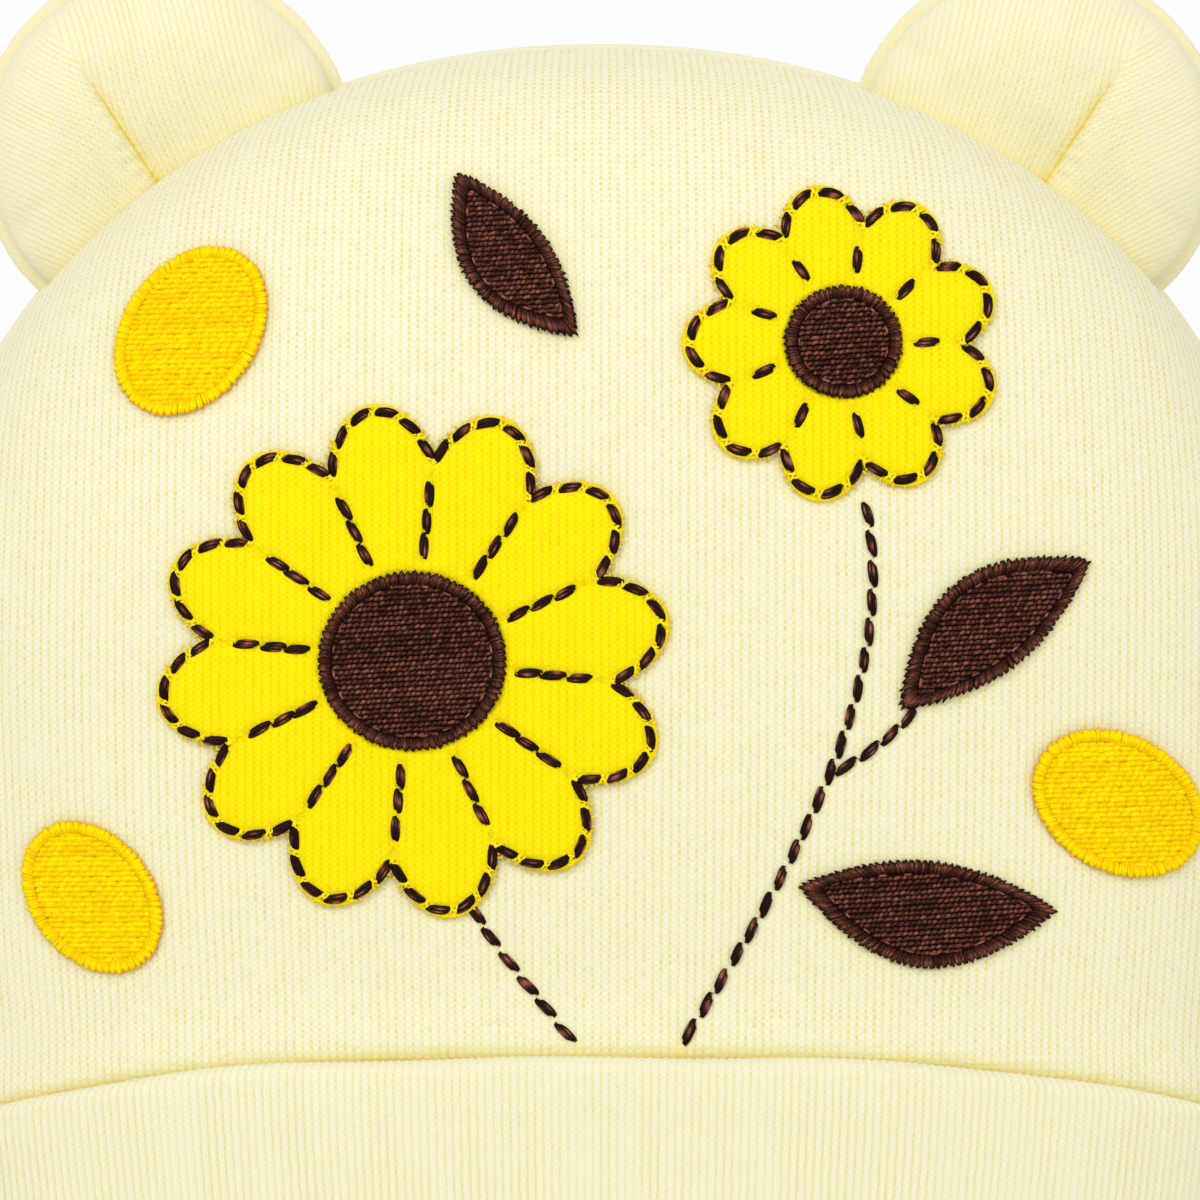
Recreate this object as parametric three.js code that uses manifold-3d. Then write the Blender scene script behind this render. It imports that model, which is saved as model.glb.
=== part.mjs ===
// Animal ear cap: a baby's pale yellow knit cap with two round padded ears, a turned-up cuff and a
// sunflower spray sewn to the front. It stands on its rim.
// Millimetres, +Z up. The front faces -Y, the arch seam lies in the plane y = 0, and the origin is
// the middle of the rim on the surface that the cap stands on.

import * as THREE from "three";
import { mergeVertices } from "three/addons/utils/BufferGeometryUtils.js";
import Module from "manifold-3d";

const wasm = await Module();
wasm.setup();

// Driving sizes of the crown
const ARCH_HALF_WIDTH = 79.4; // at the widest, where the dome starts
const ARCH_BASE_Z = 83.5;
const ARCH_RISE = 71.5;
const ARCH_POWER = 2.1; // 2 would be an ellipse
const ARCH_TOP_CENTRE_Z = 66.9; // of the circle that the arch's top follows
const HALF_DEPTH = 33; // of each panel, seam plane to bulge
const DEPTH_POWER = 2.7; // fullness of the bulge
const RIM_TAPER = { width: 9.4, depth: 3 }; // how far the sides pull in from the widest to the rim
const CROWN_WALL = 2;
const CROWN_HEM_Z = 3.2;
const SEAM_STEP = { inset: 1.2, from: 42, to: 75 }; // front edge inside the back's, from above the cuff
const GAP = 0.3; // between neighbouring pieces

// Cuff
const CUFF_WALL = 4;
const CUFF_FRONT_HEIGHT = 40;
const CUFF_SIDE_DROP = { at: 69, drop: 6.7 }; // the folded edge falls as the cube of the distance
const CUFF_INNER_WALL = 2;
const CUFF_INNER_HEIGHT = 14;

// Ears, each a half disc standing out of the arch seam
const EAR = { radius: 20.5, centreX: 50.1, centreZ: 142.6, halfThickness: 8, fullness: 2.6 };
const EAR_BASE_PINCH = { share: 0.5, height: 13 }; // thickness left at the seam, and where it ends
const EAR_PLEAT = { depth: 2.6, halfWidth: 1.7, length: 17 };
const EAR_RINGS = 7;
const EAR_SPOKES = 40;

// Panels as grids: columns across, rows below and above the widest level
const PANEL_COLUMNS = 28;
const PANEL_SIDE_ROWS = 6;
const PANEL_DOME_ROWS = 11;

// Sewn pieces
const APPLIQUE_THICKNESS = 0.9;
const EMBROIDERY_THICKNESS = 0.9;

const FLOWERS = [
  {
    petals: "sunflower_large", centre: "flower_centre_large", x: -21, z: 84,
    tip: 29, valley: 22.5, count: 12, turn: 0.16, centreRadiusX: 10.5, centreRadiusZ: 10,
  },
  {
    petals: "sunflower_small", centre: "flower_centre_small", x: 27, z: 119.5,
    tip: 18, valley: 13.6, count: 9, turn: 0.35, centreRadiusX: 6.6, centreRadiusZ: 6.3,
  },
];

const LEAVES = [
  { name: "leaf_upper", x: 44, z: 87, length: 27, width: 11.5, turn: 0.66, bend: 1.5 },
  { name: "leaf_lower", x: 36.5, z: 57.5, length: 29, width: 12, turn: -0.1, bend: -1.8 },
  { name: "leaf_top", x: -9.5, z: 129.5, length: 23, width: 10, turn: 2.2, bend: 1.2 },
];

const BUDS = [
  { name: "bud_left", x: -46, z: 121, radiusX: 10.4, radiusZ: 7.7, turn: 0.95 },
  { name: "bud_right", x: 58, z: 68, radiusX: 10.4, radiusZ: 7.7, turn: -0.5 },
  { name: "bud_low", x: -57, z: 57.5, radiusX: 9.4, radiusZ: 7, turn: -0.9 },
];

const COLOURS = {
  knit: 0xf6f1c7,
  cuff: 0xf4eec2,
  ear: 0xf6f0c0,
  yellow: 0xfce908,
  brown: 0x41231b,
  amber: 0xfad003,
};

// Shape of the crown

const sideFall = (z) => Math.max(0, (ARCH_BASE_Z - z) / ARCH_BASE_Z) ** 2;
const halfWidth = (z) => ARCH_HALF_WIDTH - RIM_TAPER.width * sideFall(z);
const halfDepth = (z) => HALF_DEPTH - RIM_TAPER.depth * sideFall(z);
const bulge = (reach) => (1 - Math.min(1, reach) ** DEPTH_POWER) ** (1 / DEPTH_POWER);

// How far inside the cap's outline a panel's edge runs. side is -1 in front and 1 behind.
function seamInset(side, z) {
  return side < 0 ? SEAM_STEP.inset * THREE.MathUtils.smoothstep(z, SEAM_STEP.from, SEAM_STEP.to) : 0;
}

// How far out a point of the front view lies: 0 in the middle, 1 on the outline
function outlineReach(x, z, inset) {
  if (z <= ARCH_BASE_Z) {
    return Math.abs(x) / (halfWidth(z) - inset);
  }
  const across = Math.abs(x) / (ARCH_HALF_WIDTH - inset);
  const up = (z - ARCH_BASE_Z) / (ARCH_RISE - inset);
  return (across ** ARCH_POWER + up ** ARCH_POWER) ** (1 / ARCH_POWER);
}

// Depth of a panel's surface from the seam, at so far under its outer face
function surfaceDepth(side, x, z, under) {
  return (halfDepth(z) - under) * bulge(outlineReach(x, z, under + seamInset(side, z)));
}

// A square grid bent into the dome: its left, top and right sides land on the arch
function domePoint(across, up) {
  const x = across * Math.sqrt(1 - (up * up) / 2);
  const z = up * Math.sqrt(1 - (across * across) / 2);
  const power = (Math.abs(x) ** ARCH_POWER + z ** ARCH_POWER) ** (1 / ARCH_POWER);
  const scale = power > 0 ? Math.hypot(x, z) / power : 0;
  return { x: x * scale, z: z * scale };
}

const eased = (share) => Math.sin((Math.PI / 2) * share);

// One panel's surface as rows of points, the hem first
function panelRows(side, under, seamY) {
  const rows = [];
  for (let row = 0; row <= PANEL_SIDE_ROWS + PANEL_DOME_ROWS; row += 1) {
    const points = [];
    for (let column = 0; column <= PANEL_COLUMNS; column += 1) {
      const across = eased((2 * column) / PANEL_COLUMNS - 1);
      let x = 0;
      let z = 0;
      if (row <= PANEL_SIDE_ROWS) {
        z = THREE.MathUtils.lerp(CROWN_HEM_Z, ARCH_BASE_Z, row / PANEL_SIDE_ROWS);
        x = across * (halfWidth(z) - under - seamInset(side, z));
      } else {
        const inset = under + seamInset(side, ARCH_BASE_Z);
        const place = domePoint(across, eased((row - PANEL_SIDE_ROWS) / PANEL_DOME_ROWS));
        x = place.x * (ARCH_HALF_WIDTH - inset);
        z = ARCH_BASE_Z + place.z * (ARCH_RISE - inset);
      }
      points.push(new THREE.Vector3(x, seamY + side * surfaceDepth(side, x, z, under), z));
    }
    rows.push(points);
  }
  return rows;
}

// Closed solids from grids and rings

function signedVolume(points, faces) {
  return faces.reduce((sum, [a, b, c]) => {
    const cross = new THREE.Vector3().crossVectors(points[b], points[c]);
    return sum + points[a].dot(cross) / 6;
  }, 0);
}

function solidGeometry(points, faces) {
  const outward = signedVolume(points, faces) > 0;
  const geometry = new THREE.BufferGeometry();
  const places = points.flatMap((point) => point.toArray());
  geometry.setAttribute("position", new THREE.Float32BufferAttribute(places, 3));
  geometry.setIndex(faces.flatMap(([a, b, c]) => (outward ? [a, b, c] : [a, c, b])));
  return geometry;
}

// Joins an outer and an inner grid of the same size into one wall. The diagonals lean to the
// middle, so the dome's two top corners stay sound.
function wallBetween(outerRows, innerRows) {
  const columns = outerRows[0].length;
  const points = [...outerRows.flat(), ...innerRows.flat()];
  const innerStart = points.length / 2;
  const faces = [];
  const at = (row, column) => row * columns + column;
  for (let row = 0; row + 1 < outerRows.length; row += 1) {
    for (let column = 0; column + 1 < columns; column += 1) {
      const a = at(row, column);
      const b = at(row, column + 1);
      const c = at(row + 1, column + 1);
      const d = at(row + 1, column);
      const halves = column + 1 > (columns - 1) / 2 ? [[a, b, c], [a, c, d]] : [[a, b, d], [b, c, d]];
      for (const [p, q, r] of halves) {
        faces.push([p, q, r], [p + innerStart, r + innerStart, q + innerStart]);
      }
    }
  }
  const last = outerRows.length - 1;
  const edge = [
    ...outerRows[0].map((_, column) => at(0, column)),
    ...outerRows.slice(1).map((_, row) => at(row + 1, columns - 1)),
    ...outerRows[last].slice(1).map((_, column) => at(last, columns - 2 - column)),
    ...outerRows.slice(1, -1).map((_, row) => at(last - 1 - row, 0)),
  ];
  edge.forEach((a, index) => {
    const b = edge[(index + 1) % edge.length];
    faces.push([b, a, a + innerStart], [b, a + innerStart, b + innerStart]);
  });
  return solidGeometry(points, faces);
}

// Sweeps a closed section through closed stations: stations[i] is a loop of points
function ringSolid(stations) {
  const size = stations[0].length;
  const faces = [];
  stations.forEach((_, station) => {
    const next = (station + 1) % stations.length;
    for (let k = 0; k < size; k += 1) {
      const l = (k + 1) % size;
      const [a, b, c, d] = [station * size + k, station * size + l, next * size + l, next * size + k];
      faces.push([a, b, c], [a, c, d]);
    }
  });
  return solidGeometry(stations.flat(), faces);
}

// Joins two faces made of the same rings round a middle point. rings run outwards.
function ringedFaces(topMiddle, topRings, bottomMiddle, bottomRings) {
  const spokes = topRings[0].length;
  const sheet = 1 + topRings.length * spokes;
  const points = [topMiddle, ...topRings.flat(), bottomMiddle, ...bottomRings.flat()];
  const faces = [];
  const add = (a, b, c) => faces.push([a, b, c], [a + sheet, c + sheet, b + sheet]);
  for (let k = 0; k < spokes; k += 1) {
    const l = (k + 1) % spokes;
    add(0, 1 + k, 1 + l);
    for (let ring = 1; ring < topRings.length; ring += 1) {
      const inner = 1 + (ring - 1) * spokes;
      const outer = 1 + ring * spokes;
      add(inner + k, outer + k, outer + l);
      add(inner + k, outer + l, inner + l);
    }
    const rim = 1 + (topRings.length - 1) * spokes;
    faces.push([rim + l, rim + k, rim + k + sheet], [rim + l, rim + k + sheet, rim + l + sheet]);
  }
  return solidGeometry(points, faces);
}

// Crown

function crownPanel(side) {
  const seamY = (side * GAP) / 2;
  return wallBetween(panelRows(side, 0, seamY), panelRows(side, CROWN_WALL, seamY));
}

// The room that one panel takes up, filled in and grown by the gap, used to trim the ears
function panelRoom(side) {
  const pastSeam = 0.05;
  const outer = panelRows(side, -GAP, -side * pastSeam);
  const flat = outer.map((row) => row.map(({ x, z }) => new THREE.Vector3(x, -side * 2 * pastSeam, z)));
  return wallBetween(outer, flat);
}

// Cuff

const cuffTop = (x) => CUFF_FRONT_HEIGHT - CUFF_SIDE_DROP.drop * (Math.abs(x) / CUFF_SIDE_DROP.at) ** 3;

// The cuff's section as a loop: how far out of the crown's surface, and how high
function cuffSection(topZ) {
  const inside = GAP;
  const outside = GAP + CUFF_WALL;
  const middle = (inside + outside) / 2;
  const legOut = -CROWN_WALL - GAP;
  const legIn = legOut - CUFF_INNER_WALL;
  const foot = { z: 1.1, out: 1.4 }; // rounding of the fold that the cap stands on
  const edge = CUFF_WALL / 2;
  const hem = 0.6;
  return [
    [legIn + foot.out, 0],
    [outside - foot.out, 0],
    [outside, foot.z],
    [outside, topZ - edge],
    [middle + edge * 0.72, topZ - edge * 0.3],
    [middle, topZ],
    [middle - edge * 0.72, topZ - edge * 0.3],
    [inside, topZ - edge],
    [inside, CROWN_HEM_Z - GAP],
    [legOut, CROWN_HEM_Z - GAP],
    [legOut, CUFF_INNER_HEIGHT - hem],
    [legOut - hem, CUFF_INNER_HEIGHT],
    [legIn + hem, CUFF_INNER_HEIGHT],
    [legIn, CUFF_INNER_HEIGHT - hem],
    [legIn, foot.z],
  ];
}

function cuffGeometry() {
  const stations = [];
  for (let station = 0; station < 2 * PANEL_COLUMNS; station += 1) {
    const side = station < PANEL_COLUMNS ? -1 : 1;
    const across = -side * eased((2 * (station % PANEL_COLUMNS)) / PANEL_COLUMNS - 1);
    const along = side * bulge(Math.abs(across));
    const topZ = cuffTop(across * halfWidth(CUFF_FRONT_HEIGHT));
    stations.push(cuffSection(topZ).map(([out, z]) => new THREE.Vector3(
      across * (halfWidth(z) + out),
      along * (halfDepth(z) + out + GAP / 2),
      z,
    )));
  }
  return ringSolid(stations);
}

// Ears

function manifoldFrom(geometry) {
  const bare = mergeVertices(new THREE.BufferGeometry().copy(geometry), 1e-4);
  return new wasm.Manifold(new wasm.Mesh({
    numProp: 3,
    vertProperties: new Float32Array(bare.attributes.position.array),
    triVerts: new Uint32Array(bare.index.array),
  }));
}

function geometryFrom(manifold) {
  const mesh = manifold.getMesh();
  const geometry = new THREE.BufferGeometry();
  geometry.setAttribute("position", new THREE.Float32BufferAttribute(mesh.vertProperties, 3));
  geometry.setIndex(Array.from(mesh.triVerts));
  return geometry;
}

// Half the ear's thickness at a place measured from the ear's centre, out of the seam and along it
function earHalfThickness(out, along) {
  const reach = Math.hypot(out, along) / EAR.radius;
  const round = (1 - Math.min(1, reach) ** EAR.fullness) ** (1 / EAR.fullness);
  const rise = THREE.MathUtils.smoothstep(out, 0, EAR_BASE_PINCH.height);
  const pinch = THREE.MathUtils.lerp(EAR_BASE_PINCH.share, 1, rise);
  const fade = 1 - THREE.MathUtils.smoothstep(out, EAR_PLEAT.length * 0.4, EAR_PLEAT.length);
  const pleat = EAR_PLEAT.depth * fade * Math.exp(-((along / EAR_PLEAT.halfWidth) ** 2));
  return Math.max(0.15, EAR.halfThickness * round * pinch - pleat * round);
}

function earSolid(side, rooms) {
  const outward = new THREE.Vector3(side * EAR.centreX, 0, EAR.centreZ - ARCH_TOP_CENTRE_Z).normalize();
  const alongSeam = new THREE.Vector3(outward.z, 0, -outward.x);
  const centre = new THREE.Vector3(side * EAR.centreX, 0, EAR.centreZ);
  const place = (reach, spoke, face) => {
    const angle = (2 * Math.PI * spoke) / EAR_SPOKES;
    const out = reach * EAR.radius * Math.cos(angle);
    const along = reach * EAR.radius * Math.sin(angle);
    const point = centre.clone().addScaledVector(outward, out).addScaledVector(alongSeam, along);
    point.y = face * earHalfThickness(out, along);
    return point;
  };
  const rings = (face) => Array.from({ length: EAR_RINGS }, (_, ring) => {
    const reach = eased((ring + 1) / EAR_RINGS);
    return Array.from({ length: EAR_SPOKES }, (_, spoke) => place(reach, spoke, face));
  });
  const whole = ringedFaces(place(0, 0, -1), rings(-1), place(0, 0, 1), rings(1));
  return geometryFrom(rooms.reduce((ear, room) => ear.subtract(room), manifoldFrom(whole)));
}

// Sewn pieces: thin slabs that follow the front panel

function frontPoint(x, z, lift) {
  return new THREE.Vector3(x, -GAP / 2 - surfaceDepth(-1, x, z, -lift), z);
}

function sewnPiece({ x, z }, outline, ringShares, lift, thickness) {
  const rings = (height) => ringShares.map((share) => outline.map(([dx, dz]) => (
    frontPoint(x + dx * share, z + dz * share, height)
  )));
  const top = lift + thickness;
  return ringedFaces(frontPoint(x, z, top), rings(top), frontPoint(x, z, lift), rings(lift));
}

function turned(outline, angle) {
  const [c, s] = [Math.cos(angle), Math.sin(angle)];
  return outline.map(([dx, dz]) => [dx * c - dz * s, dx * s + dz * c]);
}

function petalOutline({ tip, valley, count, turn }) {
  const steps = count * 6;
  return Array.from({ length: steps }, (_, step) => {
    const angle = (2 * Math.PI * step) / steps;
    const radius = valley + (tip - valley) * Math.abs(Math.cos((count * angle) / 2)) ** 0.75;
    return [radius * Math.cos(angle + turn), radius * Math.sin(angle + turn)];
  });
}

function ovalOutline(radiusX, radiusZ, turn) {
  const steps = 24;
  const points = Array.from({ length: steps }, (_, step) => {
    const angle = (2 * Math.PI * step) / steps;
    return [radiusX * Math.cos(angle), radiusZ * Math.sin(angle)];
  });
  return turned(points, turn);
}

function leafOutline({ length, width, turn, bend }) {
  const steps = 12;
  const points = [];
  for (const side of [1, -1]) {
    for (let step = 0; step < steps; step += 1) {
      const share = side === 1 ? step / steps : 1 - step / steps;
      const half = (width / 2) * Math.sin(Math.PI * share) ** 0.85;
      points.push([(share - 0.5) * length, side * half + bend * (1 - (2 * share - 1) ** 2)]);
    }
  }
  return turned(points.reverse(), turn);
}

// Assembly

function material(colour) {
  return new THREE.MeshStandardMaterial({ color: colour, roughness: 0.95, metalness: 0 });
}

const cap = new THREE.Group();

function addPiece(name, geometry, colour) {
  const mesh = new THREE.Mesh(geometry, material(colour));
  mesh.name = name;
  cap.add(mesh);
}

addPiece("crown_front", crownPanel(-1), COLOURS.knit);
addPiece("crown_back", crownPanel(1), COLOURS.knit);
addPiece("cuff", cuffGeometry(), COLOURS.cuff);

const rooms = [panelRoom(-1), panelRoom(1)].map(manifoldFrom);
addPiece("ear_left", earSolid(-1, rooms), COLOURS.ear);
addPiece("ear_right", earSolid(1, rooms), COLOURS.ear);

for (const flower of FLOWERS) {
  const petalRings = [0.4, 0.72, 1];
  const onPetals = GAP + APPLIQUE_THICKNESS + GAP;
  const centre = ovalOutline(flower.centreRadiusX, flower.centreRadiusZ, 0);
  const petals = petalOutline(flower);
  addPiece(flower.petals, sewnPiece(flower, petals, petalRings, GAP, APPLIQUE_THICKNESS), COLOURS.yellow);
  addPiece(flower.centre, sewnPiece(flower, centre, [0.5, 1], onPetals, EMBROIDERY_THICKNESS), COLOURS.brown);
}
for (const leaf of LEAVES) {
  addPiece(leaf.name, sewnPiece(leaf, leafOutline(leaf), [0.5, 1], GAP, EMBROIDERY_THICKNESS), COLOURS.brown);
}
for (const bud of BUDS) {
  const outline = ovalOutline(bud.radiusX, bud.radiusZ, bud.turn);
  addPiece(bud.name, sewnPiece(bud, outline, [0.5, 1], GAP, EMBROIDERY_THICKNESS), COLOURS.amber);
}

export default cap;
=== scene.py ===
"""A baby's animal ear cap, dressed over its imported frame.

A pale yellow knit cap with round padded ears, a turned-up cuff and a sunflower spray that is sewn
and embroidered on the front. Metres, +Z up, and the front faces -Y.
"""

from __future__ import annotations

import logging
import math
from collections.abc import Sequence
from dataclasses import dataclass
from enum import Enum

import bpy
import numpy as np
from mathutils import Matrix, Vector
from mathutils.kdtree import KDTree

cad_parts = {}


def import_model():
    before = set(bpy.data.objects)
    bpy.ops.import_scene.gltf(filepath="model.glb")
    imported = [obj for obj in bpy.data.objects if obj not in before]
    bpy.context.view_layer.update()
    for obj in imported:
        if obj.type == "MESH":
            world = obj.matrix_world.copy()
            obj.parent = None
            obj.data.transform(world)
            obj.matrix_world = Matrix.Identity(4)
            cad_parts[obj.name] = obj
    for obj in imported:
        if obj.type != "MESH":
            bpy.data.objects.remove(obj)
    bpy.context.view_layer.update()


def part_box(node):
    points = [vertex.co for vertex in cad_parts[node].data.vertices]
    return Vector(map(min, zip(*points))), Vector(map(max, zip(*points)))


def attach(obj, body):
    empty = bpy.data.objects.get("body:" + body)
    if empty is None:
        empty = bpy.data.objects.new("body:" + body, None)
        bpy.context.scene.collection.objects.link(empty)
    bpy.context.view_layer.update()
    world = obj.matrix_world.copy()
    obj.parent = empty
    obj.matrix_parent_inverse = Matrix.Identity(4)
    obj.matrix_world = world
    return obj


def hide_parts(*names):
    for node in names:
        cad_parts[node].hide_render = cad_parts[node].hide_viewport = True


LOG = logging.getLogger("ear_cap")
MM = 0.001
BODY = "root"
UV_NAME = "stitches"
# Lightness of the threads at each vertex: random tone with painted highlights and shade.
TONE_AND_PAINTED_LIGHT = "tone"
# Share of painted shade, which draws the knit's colour to a deeper yellow in seams, folds, edges
# and behind the cuff.
CREASE_SHADE = "crease_shade"
RIBBED = "ribbed"
PLAIN = "plain"
OFF_PLEAT = "off_pleat"
# How strongly the painted shade line down the ear's pleat shows.
PLEAT_SHADE = "pleat_shade"


# Cloth shape


WIDEST_Z = 83.5 * MM
CLOTH_GAP = 0.3 * MM
HEM_Z = 3.2 * MM


def smooth(share: np.ndarray | float) -> np.ndarray:
    """An eased step from 0 to 1."""
    t = np.clip(share, 0, 1)
    return t * t * (3 - 2 * t)


def bell(distance: np.ndarray, width: float) -> np.ndarray:
    """A bump that is 1 at no distance and falls away on both sides."""
    return np.exp(-((distance / width) ** 2))


@dataclass(frozen=True)
class Ridge:
    """A soft ridge: its height, where its middle lies and how wide it is."""

    height: float
    at: float
    width: float

    def over(self, place: np.ndarray) -> np.ndarray:
        """Its height at each place."""
        return self.height * bell(place - self.at, self.width)


@dataclass(frozen=True)
class Slope:
    """An eased rise from 0 to 1: where it begins and how long it is."""

    begin: float
    length: float

    def over(self, place: np.ndarray) -> np.ndarray:
        """Its height at each place."""
        return smooth((place - self.begin) / self.length)


@dataclass(frozen=True)
class CrownShape:
    """The crown as two bulging panels that meet in the arch seam, in the plane y = 0.

    Widths, heights and depths come from the frame; the rest are the maker's pattern sizes.
    """

    half_width: float
    base_z: float
    rise: float
    half_depth: float
    arch_power: float = 2.1
    depth_power: float = 2.7
    taper_width: float = 9.4 * MM
    taper_depth: float = 3.0 * MM
    wall: float = 2.0 * MM
    gap: float = CLOTH_GAP
    seam_inset: float = 1.2 * MM
    inset_rise: Slope = Slope(42 * MM, 33 * MM)
    stretch: float = 0.75
    cuff_height: float = 40 * MM
    cuff_drop_at: float = 69 * MM
    cuff_drop: float = 6.7 * MM
    puff: float = 1.5 * MM
    puff_rise: Slope = Slope(-1.6 * MM, 2.2 * MM)
    puff_reach: float = 5 * MM

    @classmethod
    def from_frame(cls) -> "CrownShape":
        """Reads the panels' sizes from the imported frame.

        Returns:
            The crown's shape.
        """
        low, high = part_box("crown_back")
        return cls(
            half_width=(high[0] - low[0]) / 2,
            base_z=WIDEST_Z,
            rise=high[2] - WIDEST_Z,
            half_depth=high[1] - CLOTH_GAP / 2,
            cuff_height=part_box("cuff")[1][2],
        )

    def cuff_top(self, x: np.ndarray) -> np.ndarray:
        """The height of the cuff's folded edge, which falls towards the sides."""
        return self.cuff_height - self.cuff_drop * (np.abs(x) / self.cuff_drop_at) ** 3

    def puff_out(self, x: np.ndarray, z: np.ndarray) -> np.ndarray:
        """How far the cloth puffs out over the cuff's edge.

        Args:
            x: Across.
            z: Up.

        Returns:
            The distance outwards.
        """
        over = z - self.cuff_top(x)
        fall = bell(np.clip(over, 0, None), self.puff_reach)
        return self.puff * self.puff_rise.over(over) * fall

    def side_fall(self, z: np.ndarray) -> np.ndarray:
        """How far the sides have pulled in, 0 at the widest level and 1 at the rim."""
        return np.clip((self.base_z - z) / self.base_z, 0, None) ** 2

    def width_at(self, z: np.ndarray) -> np.ndarray:
        """Half the crown's width at a height."""
        return self.half_width - self.taper_width * self.side_fall(z)

    def depth_at(self, z: np.ndarray) -> np.ndarray:
        """Half the crown's depth at a height."""
        return self.half_depth - self.taper_depth * self.side_fall(z)

    def bulge(self, reach: np.ndarray) -> np.ndarray:
        """Share of the depth at a reach from the middle (0) to the seam (1)."""
        return (1 - np.clip(reach, 0, 1) ** self.depth_power) ** (1 / self.depth_power)

    def inset(self, side: int, z: np.ndarray) -> np.ndarray:
        """How far inside the cap's outline a panel's edge runs."""
        return self.seam_inset * self.inset_rise.over(z) * (side < 0)

    def reach(self, x: np.ndarray, z: np.ndarray, inset: np.ndarray) -> np.ndarray:
        """How far out a point of the front view lies.

        Args:
            x: Across.
            z: Up.
            inset: How far inside the outline 1 is reached.

        Returns:
            0 in the middle to 1 on the outline.
        """
        below = np.abs(x) / (self.width_at(z) - inset)
        across = np.abs(x) / (self.half_width - inset)
        up = np.clip(z - self.base_z, 0, None) / (self.rise - inset)
        above = (across**self.arch_power + up**self.arch_power) ** (1 / self.arch_power)
        return np.where(z <= self.base_z, below, above)

    def surface_y(self, side: int, x: np.ndarray, z: np.ndarray, lift: float = 0.0) -> np.ndarray:
        """The y of a panel's outer face, or of a face lifted off it.

        Args:
            side: -1 for the front panel and 1 for the back.
            x: Across.
            z: Up.
            lift: Distance outside the outer face.

        Returns:
            The y of each point.
        """
        reach = self.reach(x, z, self.inset(side, z) - lift)
        return side * (self.gap / 2 + (self.depth_at(z) + lift) * self.bulge(reach))

    def arc_table(self) -> tuple[np.ndarray, np.ndarray]:
        """Cloth length from the middle to each reach, as a share of the half width.

        Returns:
            The reaches and the lengths.
        """
        reach = np.sin(np.linspace(0, math.pi / 2, 600))
        fall = self.stretch * self.half_depth / self.half_width * self.bulge(reach)
        steps = np.hypot(np.diff(reach), np.diff(fall))
        return reach, np.concatenate([[0], np.cumsum(steps)])

    def dome(self, across: np.ndarray, up: np.ndarray) -> tuple[np.ndarray, np.ndarray]:
        """Bends a square grid into the dome, so its sides and top land on the arch.

        Args:
            across: -1 to 1.
            up: 0 to 1.

        Returns:
            The place across and up, as shares of the half width and the rise.
        """
        x = across * np.sqrt(1 - up**2 / 2)
        z = up * np.sqrt(1 - across**2 / 2)
        power = (np.abs(x) ** self.arch_power + z**self.arch_power) ** (1 / self.arch_power)
        scale = np.where(power > 0, np.hypot(x, z) / np.maximum(power, 1e-9), 0)
        return x * scale, z * scale

    def cloth(self, side: int, x: np.ndarray, z: np.ndarray) -> tuple[np.ndarray, np.ndarray]:
        """Where a point of a panel lies in the flat cloth.

        Args:
            side: -1 for the front panel and 1 for the back.
            x: Across.
            z: Up.

        Returns:
            The place across and up in the cloth.
        """
        reaches, lengths = self.arc_table()
        reach = np.clip(self.reach(x, z, self.inset(side, z)), 1e-6, 1)
        grow = np.interp(reach, reaches, lengths) / reach
        narrow = self.half_width / self.width_at(z)
        rise = 1 + (grow - 1) * smooth(z / self.base_z)
        return x * grow * narrow, (z - self.base_z) * rise

    def normals(self, side: int, x: np.ndarray, z: np.ndarray) -> np.ndarray:
        """Outward normals of a panel's outer face.

        Args:
            side: -1 for the front panel and 1 for the back.
            x: Across.
            z: Up.

        Returns:
            A unit vector for each point.
        """
        step = 0.05 * MM
        dx = (self.surface_y(side, x + step, z) - self.surface_y(side, x - step, z)) / (2 * step)
        dz = (self.surface_y(side, x, z + step) - self.surface_y(side, x, z - step)) / (2 * step)
        out = side * np.stack([-dx, np.ones_like(dx), -dz], axis=-1)
        return out / np.linalg.norm(out, axis=-1, keepdims=True)

    def front_points(self, places: np.ndarray, lift: np.ndarray | float) -> np.ndarray:
        """Points above the front panel.

        Args:
            places: Pairs of x and z.
            lift: Height of each over the panel's outer face, along its normal.

        Returns:
            The points.
        """
        x, z = places[..., 0], places[..., 1]
        base = np.stack([x, self.surface_y(-1, x, z), z], axis=-1)
        return base + self.normals(-1, x, z) * (np.asarray(lift) + self.puff_out(x, z))[..., None]


def waves(x: np.ndarray, z: np.ndarray, size: float, seed: int) -> np.ndarray:
    """Soft, uneven undulation between about -1 and 1.

    Args:
        x: Across.
        z: Up.
        size: Typical length of a wave.
        seed: Picks one pattern.

    Returns:
        The height at each point.
    """
    random = np.random.default_rng(seed)
    total = np.zeros_like(x)
    count = 7
    for _ in range(count):
        angle, phase, scale = random.random(3) * (math.pi, 2 * math.pi, 0.9)
        turn = (x * math.cos(angle) + z * math.sin(angle)) * 2 * math.pi / (size * (0.6 + scale))
        total += np.sin(turn + phase)
    return total / math.sqrt(count) / 1.6


# Modelling helpers


class Form(Enum):
    """What a new mesh starts as."""

    GRID = "grid"
    BALL = "ball"


def start(form: Form, name: str, across: int, along: int) -> bpy.types.Object:
    """Adds a primitive with nothing else selected.

    Args:
        form: Which primitive.
        name: The new object's name.
        across: Its divisions one way.
        along: Its divisions the other way.

    Returns:
        The new object.
    """
    bpy.ops.object.select_all(action="DESELECT")
    if form is Form.GRID:
        bpy.ops.mesh.primitive_grid_add(x_subdivisions=across, y_subdivisions=along, size=2)
    else:
        bpy.ops.mesh.primitive_uv_sphere_add(segments=across, ring_count=along, radius=1)
    piece = bpy.context.object
    piece.name = piece.data.name = name
    return piece


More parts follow.
